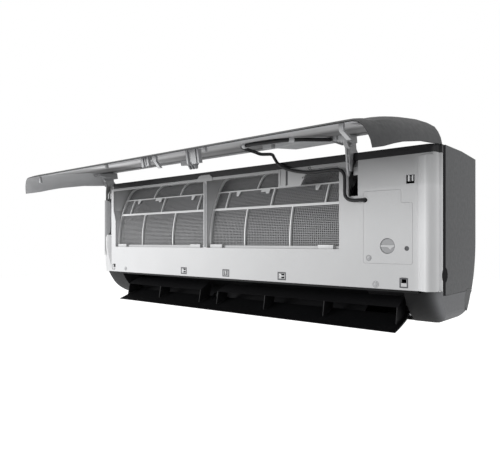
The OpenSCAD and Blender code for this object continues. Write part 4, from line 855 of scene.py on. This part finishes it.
def makeRings():
    # shallow rings round the knob and the screws, grey for painted shade in the recess round each
    x, z = knob["place"]
    gap, width = screws["knobRing"]
    inner, outer = screws["ringDepths"]
    bm = bmesh.new()
    for cx, cz, radius, wide in [(x, z, knob["radius"] + gap, width)] + screws["places"]:
        loops = []
        for r, depth in ((radius, inner), (radius + wide, outer)):
            place = Matrix.Translation(spot(cx, depth, cz)) @ Matrix.Rotation(math.pi / 2, 4, "X")
            made = bmesh.ops.create_circle(
                bm, cap_ends=False, segments=screws["ringSides"], radius=r / 1000, matrix=place
            )
            loops += {e for v in made["verts"] for e in v.link_edges}
        bmesh.ops.bridge_loops(bm, edges=loops)
    faceFront(bm)
    finishPiece("front_rings", bm, "unit", [finishes["wall"]], (), 40)


def makeScrews():
    # pan heads with cross recesses
    bm = bmesh.new()
    half, thick = screws["slot"]
    front, back = screws["slotDepths"]
    for x, z, _, _ in screws["places"]:
        for start, end, radius, sides in screws["rods"]:
            addRod(bm, spot(x, start, z), spot(x, end, z), radius / 1000, sides)
        for turn in screws["slotTurns"]:
            made = box(bm, (x - half, front, z - thick), (x + half, back, z + thick))
            bmesh.ops.rotate(bm, cent=spot(x, 0, z), matrix=Matrix.Rotation(turn, 3, "Y"), verts=made)
    finishParts("screw_heads", bm, "unit", "arm", ("front_screws",), 0.12)


# Smooth face over the right column, its highlight bands painted in the frame finish, and a grey sheet of painted
# shade over the left one's arm pocket, both along the columns' section
columns = {
    "section": [
        (418, 0.2), (424, -3.9), (430, -7.3), (434.2, -8.4), (438.6, -7.2), (441.8, -3.2), (444.4, 4.4),
        (446.4, 14.4),
    ],
    "steps": 5, "bottom": -87.6, "belowSeal": 18.2, "rows": 8, "wall": 0.0002,
    "shadeHeights": [-45, -30, -10, 2, 8, 14, 40, 70, 90, 96, 99, 101],
    "shadeStarts": [17, 16, 15, 13, 8, 3, 2, 2, 2, 3, 6, 10], "shadeEnd": 20, "shadeAcross": 12,
    "faceProud": 0.25, "shadeProud": 0.3,
}


def makeColumnSheet(name, sign, section, heights, starts, end, across, proud, finish):
    # starts and end are places along the section
    bm = bmesh.new()
    bmesh.ops.create_grid(bm, x_segments=across, y_segments=len(heights) - 1, size=1)
    for v in bm.verts:
        row = round((v.co.y + 1) / 2 * (len(heights) - 1))
        at = starts[row] + (end - starts[row]) * (v.co.x + 1) / 2
        k = min(int(at), len(section) - 2)
        point = section[k].lerp(section[k + 1], at - k)
        v.co = spot(sign * point.x, point.y - proud, heights[row])
    faceFront(bm)
    bmesh.ops.solidify(bm, geom=list(bm.faces), thickness=columns["wall"])
    finishPiece(name, bm, "unit", [finishes[finish]], (), 60)


def makeColumns():
    section = smoothPath([Vector((x, d, 0)) for x, d in columns["section"]], columns["steps"])
    last, rows, bottom = len(section) - 1, columns["rows"], columns["bottom"]
    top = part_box("corner_seal_right")[1].z * 1000 - columns["belowSeal"]
    heights = [bottom + (top - bottom) * k / rows for k in range(rows + 1)]
    makeColumnSheet(
        "column_face_right", 1, section, heights, [0] * (rows + 1), last, last, columns["faceProud"], "frame"
    )
    makeColumnSheet(
        "column_shade_left", -1, section, columns["shadeHeights"], columns["shadeStarts"], columns["shadeEnd"],
        columns["shadeAcross"], columns["shadeProud"], "wall",
    )


# Small clips and tabs under each filter's upper rib
filterClips = {
    "left": {"clips": (-339, -134.5), "tab": (-273.7, -249.1)},
    "right": {"clips": (8.2, 210.5), "tab": (71.6, 94.5)},
    "clip": [(-6, 33.4, 98.5), (6, 33.4, 98.5), (2.6, 28.6, 88.8), (-2.6, 28.6, 88.8)],
    # the tab's corners: which end, how far from it, depth and height
    "corners": [
        (0, 0, 33.6, 98.5), (1, 0, 33.6, 98.5), (1, 0, 29, 90), (1, -8, 29, 90), (1, -10, 31, 94), (0, 0, 31, 94),
    ],
    "thick": (0, 0.0012, -0.0006),
}


def makeFilterClips():
    for side in ("left", "right"):
        bm = bmesh.new()
        ends = filterClips[side]["tab"]
        outlines = [[(x + off, d, z) for off, d, z in filterClips["clip"]] for x in filterClips[side]["clips"]]
        outlines.append([(ends[k] + off, d, z) for k, off, d, z in filterClips["corners"]])
        for outline in outlines:
            extrudeOutline(bm, [spot(*corner) for corner in outline], Vector(filterClips["thick"]))
        finishParts("filter_clips_" + side, bm, "filter_" + side, "rib", (), 0.15)


# Grey sheet of painted shade on the post's side between the filters, and the rib, slot and screws of the upper
# bracket; the slot and the screws' recesses are dark sheets of painted shade
bracket = {
    "reveal": [(-65.2, -22), (-58.4, -22), (-58.4, 116), (-62, 121), (-65.2, 121)], "revealDepths": (-0.25, 0.4),
    "ribs": [((143, -1.8, 97.5), (160, 0.4, 130)), ((146, -2.6, 99), (148, 0.4, 128))],
    "slot": ((160.2, -0.25, 98.5), (163.4, 0.3, 126)),
    "screws": [(199, 109), (212, 126)],
    "head": (-1.4, 0.4, 0.0034, 28), "dimpleShade": (-1.6, -1.3, 0.0016, 20),  # front, back, radius, sides
}


def addScrews(bm, part):
    front, back, radius, sides = bracket[part]
    for x, z in bracket["screws"]:
        addRod(bm, spot(x, front, z), spot(x, back, z), radius, sides)


def makeFrameDetails():
    bm = bmesh.new()
    plate(bm, bracket["reveal"], *bracket["revealDepths"])
    finishParts("post_side_shade", bm, "unit", "wall", (), 0.1)
    bm = bmesh.new()
    for low, high in bracket["ribs"]:
        box(bm, low, high)
    addScrews(bm, "head")
    finishParts("bracket_rib", bm, "unit", "frame", (), 0.35)
    bm = bmesh.new()
    box(bm, *bracket["slot"])
    addScrews(bm, "dimpleShade")
    finishParts("bracket_slot_shade", bm, "unit", "liner", (), 0)


makeKnob()
makeSocketRims()
makeRings()
makeScrews()
makeSocketBars()
makeColumns()
makeFilterClips()
makeFrameDetails()
print("front details made")

# Filter nets: woven strands bent along the same arc as the frames
filterLine = {
    "radius": 0.237, "bendRadius": 0.043, "centre": (0.059, -0.0084), "topAngle": 32.2, "sill": -0.0225,
}
net = {"pitch": 0.0042, "strand": 0.0012, "arcSteps": 16, "drop": 0.0036, "length": 0.235}


def lineParts():
    # the two arcs, the net's drop inside the frame's line: radii, centres, lowest and joining angle
    big, small = filterLine["radius"] - net["drop"], filterLine["bendRadius"] - net["drop"]
    centre = Vector((0, *filterLine["centre"]))
    top = math.radians(filterLine["topAngle"])
    low = math.asin((filterLine["sill"] - centre.z) / big)
    second = centre + Vector((0, -math.cos(top), math.sin(top))) * (big - small)
    return big, small, centre, second, low, top


def addStrand(bm, x):
    # one strand that follows both arcs
    big, small, centre, second, low, top = lineParts()
    start = centre + Vector((x, -big * math.cos(low), big * math.sin(low)))
    made = bmesh.ops.create_grid(bm, x_segments=1, y_segments=1, size=0.5)["verts"]
    bmesh.ops.scale(bm, vec=(net["strand"], net["strand"], 1), verts=made)
    bmesh.ops.rotate(bm, cent=(0, 0, 0), matrix=Matrix.Rotation(-low, 3, "X"), verts=made)
    bmesh.ops.translate(bm, vec=start, verts=made)
    faces = list({f for v in made for f in v.link_faces})
    swept = bmesh.ops.spin(
        bm, geom=faces, cent=centre, axis=(-1, 0, 0), angle=top - low, steps=net["arcSteps"], use_duplicate=False
    )["geom_last"]
    bmesh.ops.spin(
        bm, geom=swept, cent=second, axis=(-1, 0, 0), angle=math.pi / 2 - top, steps=net["arcSteps"] // 2,
        use_duplicate=False,
    )


def linePlace(t):
    # point and outward direction at share t of the front arc and the bend
    big, small, centre, second, low, top = lineParts()
    run, first = t * ((top - low) * big + (math.pi / 2 - top) * small), (top - low) * big
    if run <= first:
        angle, radius, middle = low + run / big, big, centre
    else:
        angle, radius, middle = top + (run - first) / small, small, second
    out = Vector((0, -math.cos(angle), math.sin(angle)))
    return middle + out * radius, out


def makeNet(side):
    low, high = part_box("filter_mesh_" + side)
    bm = bmesh.new()
    count = round((high.x - low.x) / net["pitch"])
    step = (high.x - low.x) / count
    addStrand(bm, low.x + step / 2)
    repeatAcross(bm, count - 1, step)
    rows = round(net["length"] / net["pitch"])
    for k in range(rows + 1):
        point, out = linePlace(k / rows)
        turn = Matrix.Rotation(-math.atan2(out.z, -out.y), 3, "X")
        made = bmesh.ops.create_cube(bm, size=1)["verts"]
        bmesh.ops.scale(bm, vec=(high.x - low.x, net["strand"], net["strand"]), verts=made)
        bmesh.ops.rotate(bm, cent=(0, 0, 0), matrix=turn, verts=made)
        bmesh.ops.translate(bm, vec=Vector(((low.x + high.x) / 2, point.y, point.z)), verts=made)
    finishPiece(
        "net_" + side, bm, "filter_" + side, [finishes["mesh"]], ("filter_mesh_" + side,), 20
    )


for side in ("left", "right"):
    makeNet(side)
print("filter nets woven")

# Heat exchanger: thin fins across the whole width in place of the solid slabs
fins = {"pitch": 0.0018, "thick": 0.00022, "slabs": ("coil_front", "coil_top", "coil_rear")}


def sectionOf(node):
    # outline of a straight slab's end, in order round its middle
    low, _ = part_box(node)
    points = {(round(v.co.y, 6), round(v.co.z, 6)) for v in nodes[node].data.vertices if v.co.x < low.x + 1e-5}
    middle = Vector((sum(p[0] for p in points), sum(p[1] for p in points))) / len(points)
    return sorted(points, key=lambda p: math.atan2(p[1] - middle.y, p[0] - middle.x))


def makeFins(node):
    low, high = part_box(node)
    bm = bmesh.new()
    extrudeOutline(bm, [(low.x, y, z) for y, z in sectionOf(node)], (fins["thick"], 0, 0))
    bmesh.ops.recalc_face_normals(bm, faces=bm.faces)
    room = high.x - low.x - fins["thick"]
    count = int(room / fins["pitch"])
    repeatAcross(bm, count, room / count)
    finishPiece(node + "_fins", bm, "unit", [finishes["fin"]], (node,), 20)


for node in fins["slabs"]:
    makeFins(node)
print("coil fins made")

# Stage and light
studio = {
    "floorHeight": -1.15, "floorSize": 30, "floorGlow": 0.6, "floorTone": 0.8, "fill": 0.78,
    "lamps": [
        ("keyLamp", (-1.7, -2.4, 0.5), (-0.1, -0.1, 0), 1.6, 78),
        ("sideLamp", (2.8, -1.0, 1.0), (0.3, -0.1, 0), 1.6, 16),
    ],
}


def seenBackdrop(tree):
    # camera, glossy and transmission rays see the plain white background
    path = tree.nodes.new("ShaderNodeLightPath")
    add = tree.nodes.new("ShaderNodeMath")
    add.operation, add.use_clamp = "ADD", True
    tree.links.new(path.outputs["Is Camera Ray"], add.inputs[0])
    tree.links.new(path.outputs["Is Glossy Ray"], add.inputs[1])
    both = tree.nodes.new("ShaderNodeMath")
    both.operation, both.use_clamp = "ADD", True
    tree.links.new(add.outputs[0], both.inputs[0])
    tree.links.new(path.outputs["Is Transmission Ray"], both.inputs[1])
    return both.outputs[0]


def makeWorld():
    world = bpy.data.worlds.new("studio")
    world.use_nodes = True
    bpy.context.scene.world = world
    tree = world.node_tree
    tree.nodes.clear()
    seen = tree.nodes.new("ShaderNodeBackground")
    seen.inputs["Color"].default_value = (1, 1, 1, 1)
    lit = tree.nodes.new("ShaderNodeBackground")
    lit.inputs["Color"].default_value = (studio["fill"],) * 3 + (1,)
    mix = tree.nodes.new("ShaderNodeMixShader")
    tree.links.new(seenBackdrop(tree), mix.inputs[0])
    tree.links.new(lit.outputs[0], mix.inputs[1])
    tree.links.new(seen.outputs[0], mix.inputs[2])
    out = tree.nodes.new("ShaderNodeOutputWorld")
    tree.links.new(mix.outputs[0], out.inputs["Surface"])


def makeFloor():
    bm = bmesh.new()
    bmesh.ops.create_grid(bm, x_segments=1, y_segments=1, size=studio["floorSize"] / 2)
    bmesh.ops.translate(bm, vec=(0, 0, studio["floorHeight"]), verts=bm.verts)
    mesh = bpy.data.meshes.new("floor")
    bm.to_mesh(mesh)
    bm.free()
    floor = bpy.data.objects.new("floor", mesh)
    bpy.context.scene.collection.objects.link(floor)
    material = bpy.data.materials.new("floor")
    material.use_nodes = True
    tree = material.node_tree
    tree.nodes.clear()
    plain = tree.nodes.new("ShaderNodeBsdfDiffuse")
    plain.inputs["Color"].default_value = (studio["floorTone"],) * 3 + (1,)
    glow = tree.nodes.new("ShaderNodeEmission")
    add = tree.nodes.new("ShaderNodeAddShader")
    scale = tree.nodes.new("ShaderNodeMath")
    scale.operation = "MULTIPLY"
    scale.inputs[1].default_value = studio["floorGlow"]
    tree.links.new(seenBackdrop(tree), scale.inputs[0])
    tree.links.new(scale.outputs[0], glow.inputs["Strength"])
    tree.links.new(plain.outputs[0], add.inputs[0])
    tree.links.new(glow.outputs[0], add.inputs[1])
    out = tree.nodes.new("ShaderNodeOutputMaterial")
    tree.links.new(add.outputs[0], out.inputs["Surface"])
    mesh.materials.append(material)


def makeLamps():
    for name, place, target, size, power in studio["lamps"]:
        data = bpy.data.lights.new(name, "AREA")
        data.energy, data.size = power, size
        lamp = bpy.data.objects.new(name, data)
        lamp.location = place
        lamp.rotation_euler = (Vector(target) - Vector(place)).to_track_quat("-Z", "Y").to_euler()
        bpy.context.scene.collection.objects.link(lamp)


makeWorld()
makeFloor()
makeLamps()
bpy.context.scene.view_settings.view_transform = "Standard"
print("studio lit")
